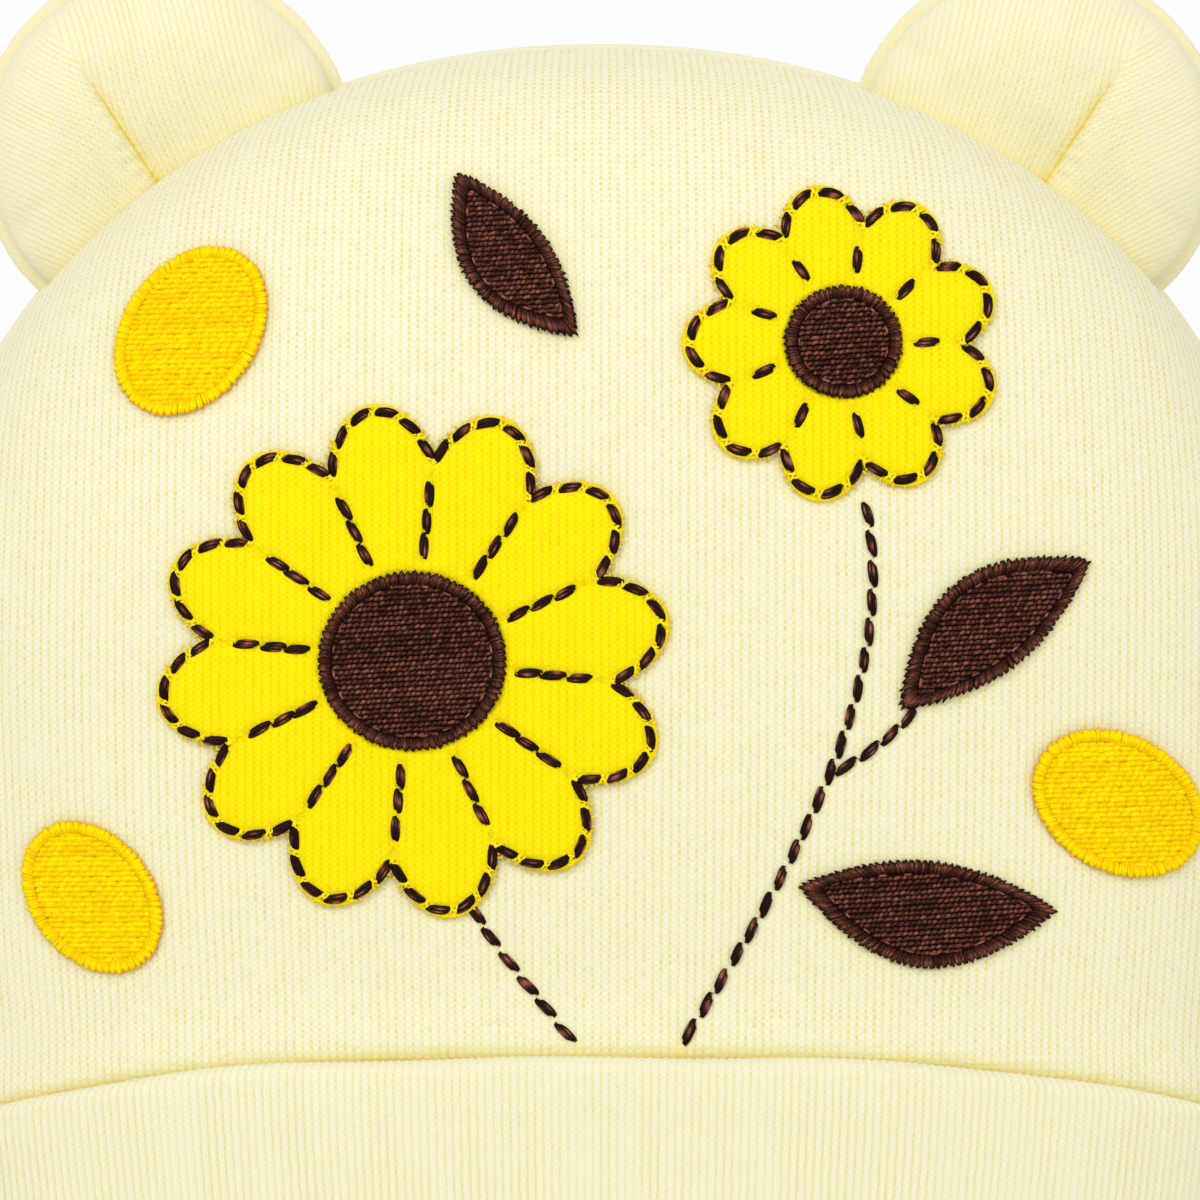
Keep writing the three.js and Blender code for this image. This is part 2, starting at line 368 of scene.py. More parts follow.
def places_of(piece: bpy.types.Object) -> np.ndarray:
    """Reads the vertices of a mesh.

    Args:
        piece: The mesh.

    Returns:
        Rows of x, y and z.
    """
    flat = np.zeros(len(piece.data.vertices) * 3)
    piece.data.vertices.foreach_get("co", flat)
    return flat.reshape(-1, 3)


def move_to(piece: bpy.types.Object, points: np.ndarray) -> None:
    """Puts every vertex of a mesh at a new place."""
    piece.data.vertices.foreach_set("co", np.ascontiguousarray(points, float).ravel())
    piece.data.update()


def set_cloth(piece: bpy.types.Object, u: np.ndarray, v: np.ndarray) -> None:
    """Writes the stitch map, in wales across and courses up.

    Args:
        piece: The mesh.
        u: Wales, one value for each vertex or for each face corner.
        v: Courses, in the same order.
    """
    mesh = piece.data
    layer = mesh.uv_layers[0] if mesh.uv_layers else mesh.uv_layers.new(name=UV_NAME)
    layer.name = UV_NAME
    corners = np.zeros(len(mesh.loops), int)
    mesh.loops.foreach_get("vertex_index", corners)
    if len(u) == len(corners) != len(mesh.vertices):
        corners = np.arange(len(corners))
    layer.data.foreach_set("uv", np.stack([u[corners], v[corners]], axis=1).ravel())


def corners_of(piece: bpy.types.Object) -> tuple[np.ndarray, np.ndarray]:
    """Which vertex and which face each face corner belongs to.

    Args:
        piece: The mesh.

    Returns:
        The vertex numbers and the face numbers.
    """
    mesh = piece.data
    corners = np.zeros(len(mesh.loops), int)
    starts = np.zeros(len(mesh.polygons), int)
    sizes = np.zeros(len(mesh.polygons), int)
    mesh.loops.foreach_get("vertex_index", corners)
    mesh.polygons.foreach_get("loop_start", starts)
    mesh.polygons.foreach_get("loop_total", sizes)
    return corners, np.repeat(np.arange(len(starts)), sizes)


def set_tone(piece: bpy.types.Object, name: str, values: np.ndarray) -> None:
    """Stores one number for each vertex under a name that a material reads."""
    layer = piece.data.attributes.new(name, "FLOAT", "POINT")
    layer.data.foreach_set("value", np.ascontiguousarray(values, float))


def pick(*pieces: bpy.types.Object) -> None:
    """Selects pieces and nothing else, and makes the first one active."""
    bpy.ops.object.select_all(action="DESELECT")
    for piece in pieces:
        piece.select_set(True)
    bpy.context.view_layer.objects.active = pieces[0]


def apply_modifier(piece: bpy.types.Object, kind: str, **settings: object) -> None:
    """Adds a modifier, sets it and applies it.

    Args:
        piece: The mesh.
        kind: The modifier's type.
        settings: Its properties.
    """
    pick(piece)
    modifier = piece.modifiers.new(kind.title(), kind)
    for key, value in settings.items():
        setattr(modifier, key, value)
    bpy.ops.object.modifier_apply(modifier=modifier.name)


def finish_piece(
    piece: bpy.types.Object,
    material: bpy.types.Material,
    nodes: Sequence[str] = (),
) -> bpy.types.Object:
    """Shades a piece smooth, gives it its material, hangs it on the body and hides the frame nodes
    that it replaces.

    Args:
        piece: The mesh.
        material: Its finish.
        nodes: Frame nodes that it replaces.

    Returns:
        The piece.
    """
    pick(piece)
    bpy.ops.object.shade_smooth()
    piece.data.materials.clear()
    piece.data.materials.append(material)
    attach(piece, BODY)
    if nodes:
        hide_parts(*nodes)
    LOG.info("%s: %d faces", piece.name, len(piece.data.polygons))
    return piece


# Shader maths


LIGHT = 1.17


class Value:
    """A number in a shader, which Python's operators work on."""

    def __init__(self, shader: "Shader", socket: bpy.types.NodeSocket) -> None:
        """Wraps one socket of a shader."""
        self.shader = shader
        self.socket = socket

    def maths(self, operation: str, *others: "Value | float", clamp: bool = False) -> "Value":
        """Adds one Math node.

        Args:
            operation: The node's operation.
            others: What comes after this value.
            clamp: Whether to keep the result from 0 to 1.

        Returns:
            The result.
        """
        settings = {"operation": operation, "use_clamp": clamp}
        node = self.shader.node("ShaderNodeMath", settings, dict(enumerate((self, *others))))
        return Value(self.shader, node.outputs[0])

    def __add__(self, other: "Value | float") -> "Value":
        """Sum."""
        return self.maths("ADD", other)

    __radd__ = __add__

    def __mul__(self, other: "Value | float") -> "Value":
        """Product."""
        return self.maths("MULTIPLY", other)

    __rmul__ = __mul__

    def __sub__(self, other: "Value | float") -> "Value":
        """Difference."""
        return self.maths("SUBTRACT", other)

    def __rsub__(self, other: float) -> "Value":
        """Difference from a number."""
        return self * -1.0 + other

    def __truediv__(self, other: "Value | float") -> "Value":
        """Quotient."""
        return self.maths("DIVIDE", other)

    def __pow__(self, other: "Value | float") -> "Value":
        """Power."""
        return self.maths("POWER", other)

    def held(self) -> "Value":
        """Kept from 0 to 1."""
        return self.maths("ADD", 0.0, clamp=True)

    def from_middle(self) -> "Value":
        """Distance to the nearest whole number, signed, from -0.5 to 0.5."""
        return (self + 0.5).maths("FRACT") - 0.5

    def wave(self) -> "Value":
        """Cosine of a number of whole turns."""
        return (self * (2 * math.pi)).maths("COSINE")

    def whole(self) -> "Value":
        """The whole number below."""
        return self.maths("FLOOR")


class Shader:
    """A material that is built in code."""

    def __init__(self, name: str) -> None:
        """Starts a material with one Principled shader.

        Args:
            name: The material's name.
        """
        self.material = bpy.data.materials.new(name)
        self.material.use_nodes = True
        self.tree = self.material.node_tree
        self.surface = self.tree.nodes["Principled BSDF"]

    def node(self, kind: str, settings: dict[str, object], inputs: dict) -> bpy.types.Node:
        """Adds any node.

        Args:
            kind: The node's type.
            settings: Its own settings, made first.
            inputs: Values, wrapped values or sockets, by input name or number.

        Returns:
            The node.
        """
        node = self.tree.nodes.new(kind)
        for key, value in settings.items():
            setattr(node, key, value)
        for key, value in inputs.items():
            self.feed(node.inputs[key], value)
        return node

    def feed(self, socket: bpy.types.NodeSocket, value: object) -> None:
        """Links something to an input, or sets the input's own value.

        Args:
            socket: The input.
            value: A wrapped value, a socket, or a plain value.
        """
        if isinstance(value, Value):
            value = value.socket
        if isinstance(value, bpy.types.NodeSocket):
            self.tree.links.new(value, socket)
        else:
            socket.default_value = value

    def stitch_place(self) -> tuple[Value, Value]:
        """Reads the stitch map.

        Returns:
            The wales across and the courses up.
        """
        uv = self.node("ShaderNodeUVMap", {"uv_map": UV_NAME}, {})
        parts = self.node("ShaderNodeSeparateXYZ", {}, {0: uv.outputs[0]})
        return Value(self, parts.outputs[0]), Value(self, parts.outputs[1])

    def attribute(self, name: str) -> Value:
        """A number stored on the mesh."""
        node = self.node("ShaderNodeAttribute", {"attribute_name": name}, {})
        return Value(self, node.outputs["Fac"])

    def noise(self, place: object, scale: float, detail: float = 2.0) -> Value:
        """Adds soft noise.

        Args:
            place: The vector that it varies with.
            scale: How fast it varies.
            detail: Its finer layers.

        Returns:
            A number from 0 to 1.
        """
        settings = {"noise_dimensions": "3D"}
        inputs = {"Vector": place, "Scale": scale, "Detail": detail}
        return Value(self, self.node("ShaderNodeTexNoise", settings, inputs).outputs["Fac"])

    def vector(self, x: "Value | float", y: "Value | float", z: float = 0.0) -> object:
        """A vector from numbers."""
        return self.node("ShaderNodeCombineXYZ", {}, {0: x, 1: y, 2: z}).outputs[0]

    def cell(self, across: Value, up: Value) -> Value:
        """Adds a random number for each stitch.

        Args:
            across: The wale.
            up: The course.

        Returns:
            A number from 0 to 1.
        """
        settings = {"noise_dimensions": "2D"}
        place = self.vector(across.whole(), up.whole())
        node = self.node("ShaderNodeTexWhiteNoise", settings, {"Vector": place})
        return Value(self, node.outputs["Value"])

    def spot(self) -> object:
        """The place on the object."""
        return self.node("ShaderNodeTexCoord", {}, {}).outputs["Object"]

    def blend(self, share: "Value | float", first: object, second: object) -> object:
        """Mixes two colours.

        Args:
            share: 0 for the first and 1 for the second.
            first: A colour or a socket.
            second: A colour or a socket.

        Returns:
            The colour between them, as a socket.
        """
        settings = {"data_type": "RGBA"}
        node = self.node("ShaderNodeMix", settings, {0: share, 6: first, 7: second})
        return node.outputs[2]

    def bump(self, height: Value, distance: float, strength: float) -> object:
        """A normal bent by a height."""
        inputs = {"Height": height, "Distance": distance, "Strength": strength}
        return self.node("ShaderNodeBump", {}, inputs).outputs["Normal"]

    def dress(self, **sockets: object) -> bpy.types.Material:
        """Sets the Principled shader's inputs, by name with _ for a space.

        Returns:
            The material.
        """
        for name, value in sockets.items():
            self.feed(self.surface.inputs[name.replace("_", " ")], value)
        return self.material


def shade(red: int, green: int, blue: int) -> tuple[float, float, float, float]:
    """A material's colour from the colour that it shows when lit.

    Args:
        red: Red as seen, from 0 to 255.
        green: Green as seen.
        blue: Blue as seen.

    Returns:
        The linear colour, divided by the light that falls on it.
    """
    parts = [c / 255 for c in (red, green, blue)]
    linear = [c / 12.92 if c <= 0.04045 else ((c + 0.055) / 1.055) ** 2.4 for c in parts]
    return (*(c / LIGHT for c in linear), 1.0)


# Finishes


@dataclass(frozen=True)
class KnitFinish:
    """Fine cotton knit: light chains of stitches, with small holes in columns between them."""

    name: str
    yarn: tuple[float, float, float, float]
    hole: tuple[float, float, float, float]
    # Colour of the painted shade in creases, behind the cuff and along edges.
    crease_shade: tuple[float, float, float, float]
    dots_share: float = 0.95
    line: float = 0.4
    relief: float = 0.11 * MM
    sheen: float = 0.22
    # Strength of a painted warm glow that lightens the shade in the creases.
    painted_glow: float = 0.18
    pleated: bool = False

    def material(self) -> bpy.types.Material:
        """Builds the knit.

        Returns:
            The material.
        """
        s = Shader(self.name)
        u, v = s.stitch_place()
        ribbed = s.attribute(RIBBED).held()
        up = v + (s.noise(s.vector(u * 0.23, v * 0.17), 1.0, 3.0) - 0.5) * 1.5
        across = u + (s.noise(s.vector(u * 0.45, v * 0.4), 1.0) - 0.5) * 0.3
        holes = self.holes(s, across, up)
        slope = across.from_middle().maths("ABSOLUTE") * 1.25
        strand = (up + slope).wave() * 0.5 + 0.5
        fuzz = s.noise(s.spot(), 5200, 3.0)
        hair = s.noise(s.spot(), 1500, 4.0)
        height = (1 - holes) + strand * (0.55 - ribbed * 0.35) + fuzz * 0.4
        chain = strand**2.0 * (1 - holes) * (0.24 - ribbed * 0.16)
        shaded = (holes + chain + (hair - 0.5) * 0.2).held()
        lit = s.blend(shaded, self.yarn, self.hole)
        # Painted shade: the crease share draws the colour towards the deeper crease yellow, more in
        # the holes.
        deep = s.attribute(CREASE_SHADE).held()
        # Painted light: the creases glow in their deeper yellow, so their shade looks warm.
        painted_crease_glow = s.blend(deep, shade(0, 0, 0), self.crease_shade)
        deep = deep * (0.65 + holes * 0.35)
        # Painted shade: a thin deeper line down the ear's pleat.
        if self.pleated:
            line = (1 - (s.attribute(OFF_PLEAT) / 0.2) ** 2.0).held()
            deep = (deep + line * s.attribute(PLEAT_SHADE)).held()
        return s.dress(
            Base_Color=s.blend(deep, lit, self.crease_shade),
            Emission_Color=painted_crease_glow,
            Emission_Strength=self.painted_glow,
            Roughness=0.95,
            Sheen_Weight=self.sheen,
            Sheen_Roughness=0.5,
            Specular_IOR_Level=0.1,
            Normal=s.bump(height, self.relief, 0.7),
        )

    def holes(self, s: Shader, across: Value, up: Value) -> Value:
        """Where the cloth is open: spots between the stitches, and lines between the wales.

        Args:
            s: The material.
            across: Wales across, with their small wander.
            up: Courses up, with their small wander.

        Returns:
            0 on a stitch to 1 in a hole.
        """
        u, v = s.stitch_place()
        ribbed, plain = s.attribute(RIBBED).held(), s.attribute(PLAIN).held()
        own, other = s.cell(across + 0.5, up + 0.5), s.cell(across, up)
        main = self.dots(across, up, 0.2, 0.34) * (own * 0.75 + 0.5)
        between = self.dots(across + 0.5, up + 0.5, 0.14, 0.27) * (other * 0.9 + 0.15)
        patchy = (s.noise(s.vector(u * 0.31, v * 0.22), 1.0, 3.0) * 2.6 - 0.8).held()
        dotted = main * (0.55 + patchy * 0.45) + between * (0.2 + patchy * 0.35)
        dotted = dotted * self.dots_share * (1 - ribbed * 0.72)
        valley = (1 - (across.from_middle() * 4.2) ** 2.0).held()
        column = s.noise(s.vector(u.whole() * 0.37, v * 0.03), 1.0)
        lines = valley * (column * 1.5 - 0.25).held() * (self.line + ribbed * 0.32)
        return (dotted + lines).held() * (1 - plain * 0.85)

    @staticmethod
    def dots(u: Value, v: Value, width: float, height: float) -> Value:
        """Oval spots, one at each whole wale and course."""
        far = (u.from_middle() / width) ** 2.0 + (v.from_middle() / height) ** 2.0
        return (1 - far * 0.62).held() ** 1.2


@dataclass(frozen=True)
class ThreadFinish:
    """Twisted embroidery thread, a little glossy."""

    name: str
    # The light colour is the painted highlight and the dark one the painted shade; the tone mixes
    # them.
    light: tuple[float, float, float, float]
    dark: tuple[float, float, float, float]
    gloss: float = 0.5
    specular: float = 0.15
    contrast: float = 1.0

    def material(self) -> bpy.types.Material:
        """Builds the thread.

        Returns:
            The material.
        """
        s = Shader(self.name)
        u, v = s.stitch_place()
        ply = (u * 1.0 + v).wave() * 0.5 + 0.5
        tone = s.attribute(TONE_AND_PAINTED_LIGHT)
        fuzz = s.noise(s.spot(), 9000, 2.0)
        mix = (tone + ply * 0.12 + fuzz * 0.24 - 0.18).held() ** self.contrast
        return s.dress(
            Base_Color=s.blend(mix, self.dark, self.light),
            Roughness=self.gloss,
            Specular_IOR_Level=self.specular,
            Normal=s.bump(ply * 0.7 + fuzz * 0.5, 0.03 * MM, 0.5),
        )


KNIT = KnitFinish("knit_crown", shade(244, 241, 213), shade(232, 221, 136), shade(240, 216, 84))
CUFF_KNIT = KnitFinish(
    "knit_cuff",
    shade(243, 240, 210),
    shade(230, 218, 128),
    shade(240, 216, 84),
    dots_share=0.72,
    line=0.42,
)
EAR_KNIT = KnitFinish(
    "knit_ear",
    shade(242, 237, 204),
    shade(234, 218, 122),
    shade(240, 214, 84),
    dots_share=0.85,
    line=0.36,
    relief=0.085 * MM,
    pleated=True,
)
JERSEY = KnitFinish(
    "jersey_yellow",
    shade(255, 236, 4),
    shade(248, 206, 0),
    shade(236, 186, 0),
    dots_share=0.8,
    sheen=0.03,
    painted_glow=0,
)
BROWN = ThreadFinish(
    "thread_brown", shade(164, 95, 74), shade(24, 7, 4), specular=0.06, contrast=2.8
)
AMBER = ThreadFinish(
    "thread_amber", shade(255, 230, 0), shade(246, 148, 0), specular=0.04, contrast=1.5
)
GOLD = ThreadFinish("thread_gold", shade(255, 236, 14), shade(240, 196, 0))


# Knit gauge


@dataclass(frozen=True)
class Gauge:
    """The size of one stitch."""

    wale: float = 0.9775 * MM
    course: float = 0.69 * MM


GAUGE = Gauge()
JERSEY_GAUGE = Gauge(wale=0.943 * MM, course=0.66 * MM)


# Crown


ROLL_DEPTH = 0.85 * MM
ROLL_LENGTH = 2.4 * MM
ROLL_POWER = 2.2


@dataclass
class CrownPanel:
    """One panel of the crown, rolled in at the arch seam."""

    shape: CrownShape
    side: int
    columns: int = 250
    side_rows: int = 75
    dome_rows: int = 85
    hem_z: float = HEM_Z
    ripple: float = 0.16 * MM
    ripple_size: float = 34 * MM
    calm_edge: float = 12 * MM
    seam_dip: float = 0.4 * MM
    seam_dip_reach: float = 1 * MM
    lip: Ridge = Ridge(0.4 * MM, at=5 * MM, width=1.8 * MM)
    lip_rise: Slope = Slope(40 * MM, 20 * MM)
    pull: Ridge = Ridge(0.12 * MM, at=0, width=1.1 * MM)
    pull_shade: Ridge = Ridge(0.3, at=0, width=0.9 * MM)
    seam_shade: Ridge = Ridge(0.1, at=0, width=0.0012)
    seam_plain: Ridge = Ridge(1, at=0, width=0.004)
    cuff_light: Slope = Slope(-0.8 * MM, 2.6 * MM)

    def build(self, pulls: np.ndarray, material: bpy.types.Material) -> bpy.types.Object:
        """Models the panel.

        Args:
            pulls: Places on the front, as pairs of x and z, where stitches pull the cloth in.
            material: The knit.

        Returns:
            The panel.
        """
        name = "crown_front_knit" if self.side < 0 else "crown_back_knit"
        rows = self.side_rows + self.dome_rows
        piece = start(Form.GRID, name, self.columns, rows)
        x, z = self.spread(places_of(piece))
        base = np.stack([x, self.shape.surface_y(self.side, x, z), z], axis=1)
        reach = np.clip(self.shape.reach(x, z, self.shape.inset(self.side, z)), 0, 1)
        normals = self.edge_normals(x, z, reach)
        near = self.from_pulls(x, z, pulls)
        sink = self.sink(x, z, reach, near)
        dip = np.exp(-self.from_seam(reach) / self.seam_dip_reach)
        base[:, 1] -= self.side * self.seam_dip * dip
        move_to(piece, base - normals * sink[:, None])
        u, v = self.shape.cloth(self.side, x, z)
        set_cloth(piece, u / GAUGE.wale, v / GAUGE.course)
        # Painted shade in the seam, behind the cuff and where stitches pull the cloth in.
        set_tone(piece, CREASE_SHADE, self.crease_shade(reach, x, z) + self.pull_shade.over(near))
        set_tone(piece, PLAIN, self.seam_plain.over(1 - reach) * (z > self.shape.base_z))
        wall = self.shape.wall
        apply_modifier(piece, "SOLIDIFY", thickness=wall, offset=-1, use_even_offset=True)
        node = "crown_front" if self.side < 0 else "crown_back"
        return finish_piece(piece, material, [node])

    def spread(self, grid: np.ndarray) -> tuple[np.ndarray, np.ndarray]:
        """Lays the flat grid over the panel's front view.

        Args:
            grid: The primitive's places, from -1 to 1.

        Returns:
            The x and z of each vertex.
        """
        reaches, lengths = self.shape.arc_table()
        even = lengths / lengths[-1]
        across = np.sign(grid[:, 0]) * np.interp(np.abs(grid[:, 0]), even, reaches) * -self.side
        row = (grid[:, 1] + 1) / 2 * (self.side_rows + self.dome_rows)
        low_z = self.hem_z + (self.shape.base_z - self.hem_z) * np.clip(row / self.side_rows, 0, 1)
        dome_row = np.clip(row / self.side_rows - 1, 0, None) * self.side_rows / self.dome_rows
        up = np.interp(dome_row, even, reaches)
        dome_x, dome_z = self.shape.dome(across, up)
        below = row <= self.side_rows + 1e-6
        inset = self.shape.inset(self.side, low_z)
        x_low = across * (self.shape.width_at(low_z) - inset)
        top_inset = self.shape.inset(self.side, np.full_like(low_z, self.shape.base_z))
        x_high = dome_x * (self.shape.half_width - top_inset)
        z_high = self.shape.base_z + dome_z * (self.shape.rise - top_inset)
        return np.where(below, x_low, x_high), np.where(below, low_z, z_high)

    def edge_normals(self, x: np.ndarray, z: np.ndarray, reach: np.ndarray) -> np.ndarray:
        """Outward normals, which at the seam lie almost in its plane.

        Args:
            x: Across.
            z: Up.
            reach: 0 in the middle to 1 at the seam.

        Returns:
            A unit vector for each vertex.
        """
        safe = np.minimum(1, 0.995 / np.maximum(reach, 1e-6))
        low = z <= self.shape.base_z
        near_z = np.where(low, z, self.shape.base_z + (z - self.shape.base_z) * safe)
        return self.shape.normals(self.side, x * safe, near_z)

    def from_pulls(self, x: np.ndarray, z: np.ndarray, pulls: np.ndarray) -> np.ndarray:
        """How far each place is from where stitches pull the cloth in.

        Args:
            x: Across.
            z: Up.
            pulls: Places on the front.

        Returns:
            The distance to the nearest of them, or a metre on the back.
        """
        if self.side > 0 or not len(pulls):
            return np.full(len(x), 1.0)
        return nearest(np.stack([x, z], axis=1), pulls)

    def sink(self, x: np.ndarray, z: np.ndarray, reach: np.ndarray, near: np.ndarray) -> np.ndarray:
        """How far the cloth lies under its smooth shape.

        Args:
            x: Across.
            z: Up.
            reach: 0 in the middle to 1 at the seam.
            near: Distance to where stitches pull it in.

        Returns:
            The depth at each vertex.
        """
        from_seam = self.from_seam(reach)
        rolled = rolled_in(from_seam)
        lip = self.lip.over(from_seam) * (self.side < 0) * self.lip_rise.over(z)
        calm = smooth(from_seam / self.calm_edge)
        depth = rolled - lip + self.ripple * calm * waves(x, z, self.ripple_size, 3 + self.side)
        depth = depth - self.shape.puff_out(x, z)
        return depth + self.pull.over(near)

    def from_seam(self, reach: np.ndarray) -> np.ndarray:
        """Length of cloth from the seam to each reach."""
        reaches, lengths = self.shape.arc_table()
        return (lengths[-1] - np.interp(reach, reaches, lengths)) * self.shape.half_width

    def crease_shade(self, reach: np.ndarray, x: np.ndarray, z: np.ndarray) -> np.ndarray:
        """Painted shade: how much deeper the colour is in the seam and down behind the cuff.

        Args:
            reach: 0 in the middle to 1 at the seam.
            x: Across.
            z: Up.

        Returns:
            The share of the painted shade's colour.
        """
        over = z - self.shape.cuff_top(x)
        return self.seam_shade.over(1 - reach) + 1 - self.cuff_light.over(over)


def rolled_in(from_seam: np.ndarray) -> np.ndarray:
    """How far a panel's edge has rolled in at a length of cloth from the seam."""
    return ROLL_DEPTH * np.clip(1 - from_seam / ROLL_LENGTH, 0, 1) ** ROLL_POWER


@dataclass
class SeamLip:
    """The row of small bumps where the wales turn over the front panel's sewn edge."""

    shape: CrownShape
    pitch: float = 0.98 * MM
    thickness: float = 0.42 * MM
    proud: float = 0.17 * MM
    low_z: float = 84 * MM
    near: float = 0.8 * MM
    far: float = 3.4 * MM
    samples: int = 7

    def build(self, material: bpy.types.Material) -> bpy.types.Object:
        """Models the loops.

        Args:
            material: The knit.

        Returns:
            The loops.
        """
        random = np.random.default_rng(5)
        edge = self.edge()
        count = round(edge.length() / self.pitch)
        marks = (np.arange(count) + 0.5 + random.normal(0, 0.06, count)) * edge.length() / count
        base, outward = (values[:, None, :] for values in (edge.at(marks), edge.beside(marks)))
        depth = np.linspace(self.near, self.far, self.samples)
        under = rolled_in(depth) + self.thickness - self.proud
        under = under + random.normal(0, 0.03 * MM, (count, 1))
        flat = base - outward * under[..., None]
        back = np.broadcast_to(-depth, under.shape)
        centre = np.stack([flat[..., 0], back, flat[..., 1]], axis=-1)
        normal = np.stack([outward[..., 0], 0 * outward[..., 0], outward[..., 1]], axis=-1)
        normal = np.broadcast_to(normal, centre.shape)
        wide = np.broadcast_to(self.thickness * rounded(self.samples, 0.4), under.shape)
        piece = thread_mesh("seam_lip", centre, normal, wide, 0 * under, 8)
        places = places_of(piece)
        u, v = self.shape.cloth(-1, places[:, 0], places[:, 2])
        set_cloth(piece, u / GAUGE.wale, v / GAUGE.course)
        set_tone(piece, PLAIN, np.full(len(places), 1.0))
        # A little painted shade colour, with its painted glow, warms the loops' self-shadow.
        set_tone(piece, CREASE_SHADE, np.full(len(places), 0.06))
        return finish_piece(piece, material)

    def edge(self) -> "Line":
        """The front panel's outline.

        Returns:
            A line from side to side, over the top.
        """
        t = np.linspace(-math.pi / 2, math.pi / 2, 400)
        inset = self.shape.seam_inset
        power = (np.abs(np.sin(t)) ** self.shape.arch_power + np.cos(t) ** self.shape.arch_power)
        scale = power ** (-1 / self.shape.arch_power)
        x = np.sin(t) * scale * (self.shape.half_width - inset)
        z = self.shape.base_z + np.cos(t) * scale * (self.shape.rise - inset)
        drop = np.linspace(self.low_z, self.shape.base_z, 20)[:-1]
        side = self.shape.width_at(drop) - inset
        left, right = np.stack([-side, drop], 1), np.stack([side, drop], 1)[::-1]
        return Line(np.vstack([left, np.stack([x, z], 1), right]))


def nearest(places: np.ndarray, targets: np.ndarray) -> np.ndarray:
    """Distance from each place to the nearest target.

    Args:
        places: Pairs of x and z.
        targets: Pairs of x and z.

    Returns:
        A distance for each place.
    """
    tree = KDTree(len(targets))
    for index, (x, z) in enumerate(targets):
        tree.insert((x, z, 0), index)
    tree.balance()
    return np.array([tree.find((x, z, 0))[2] for x, z in places])


# Cuff


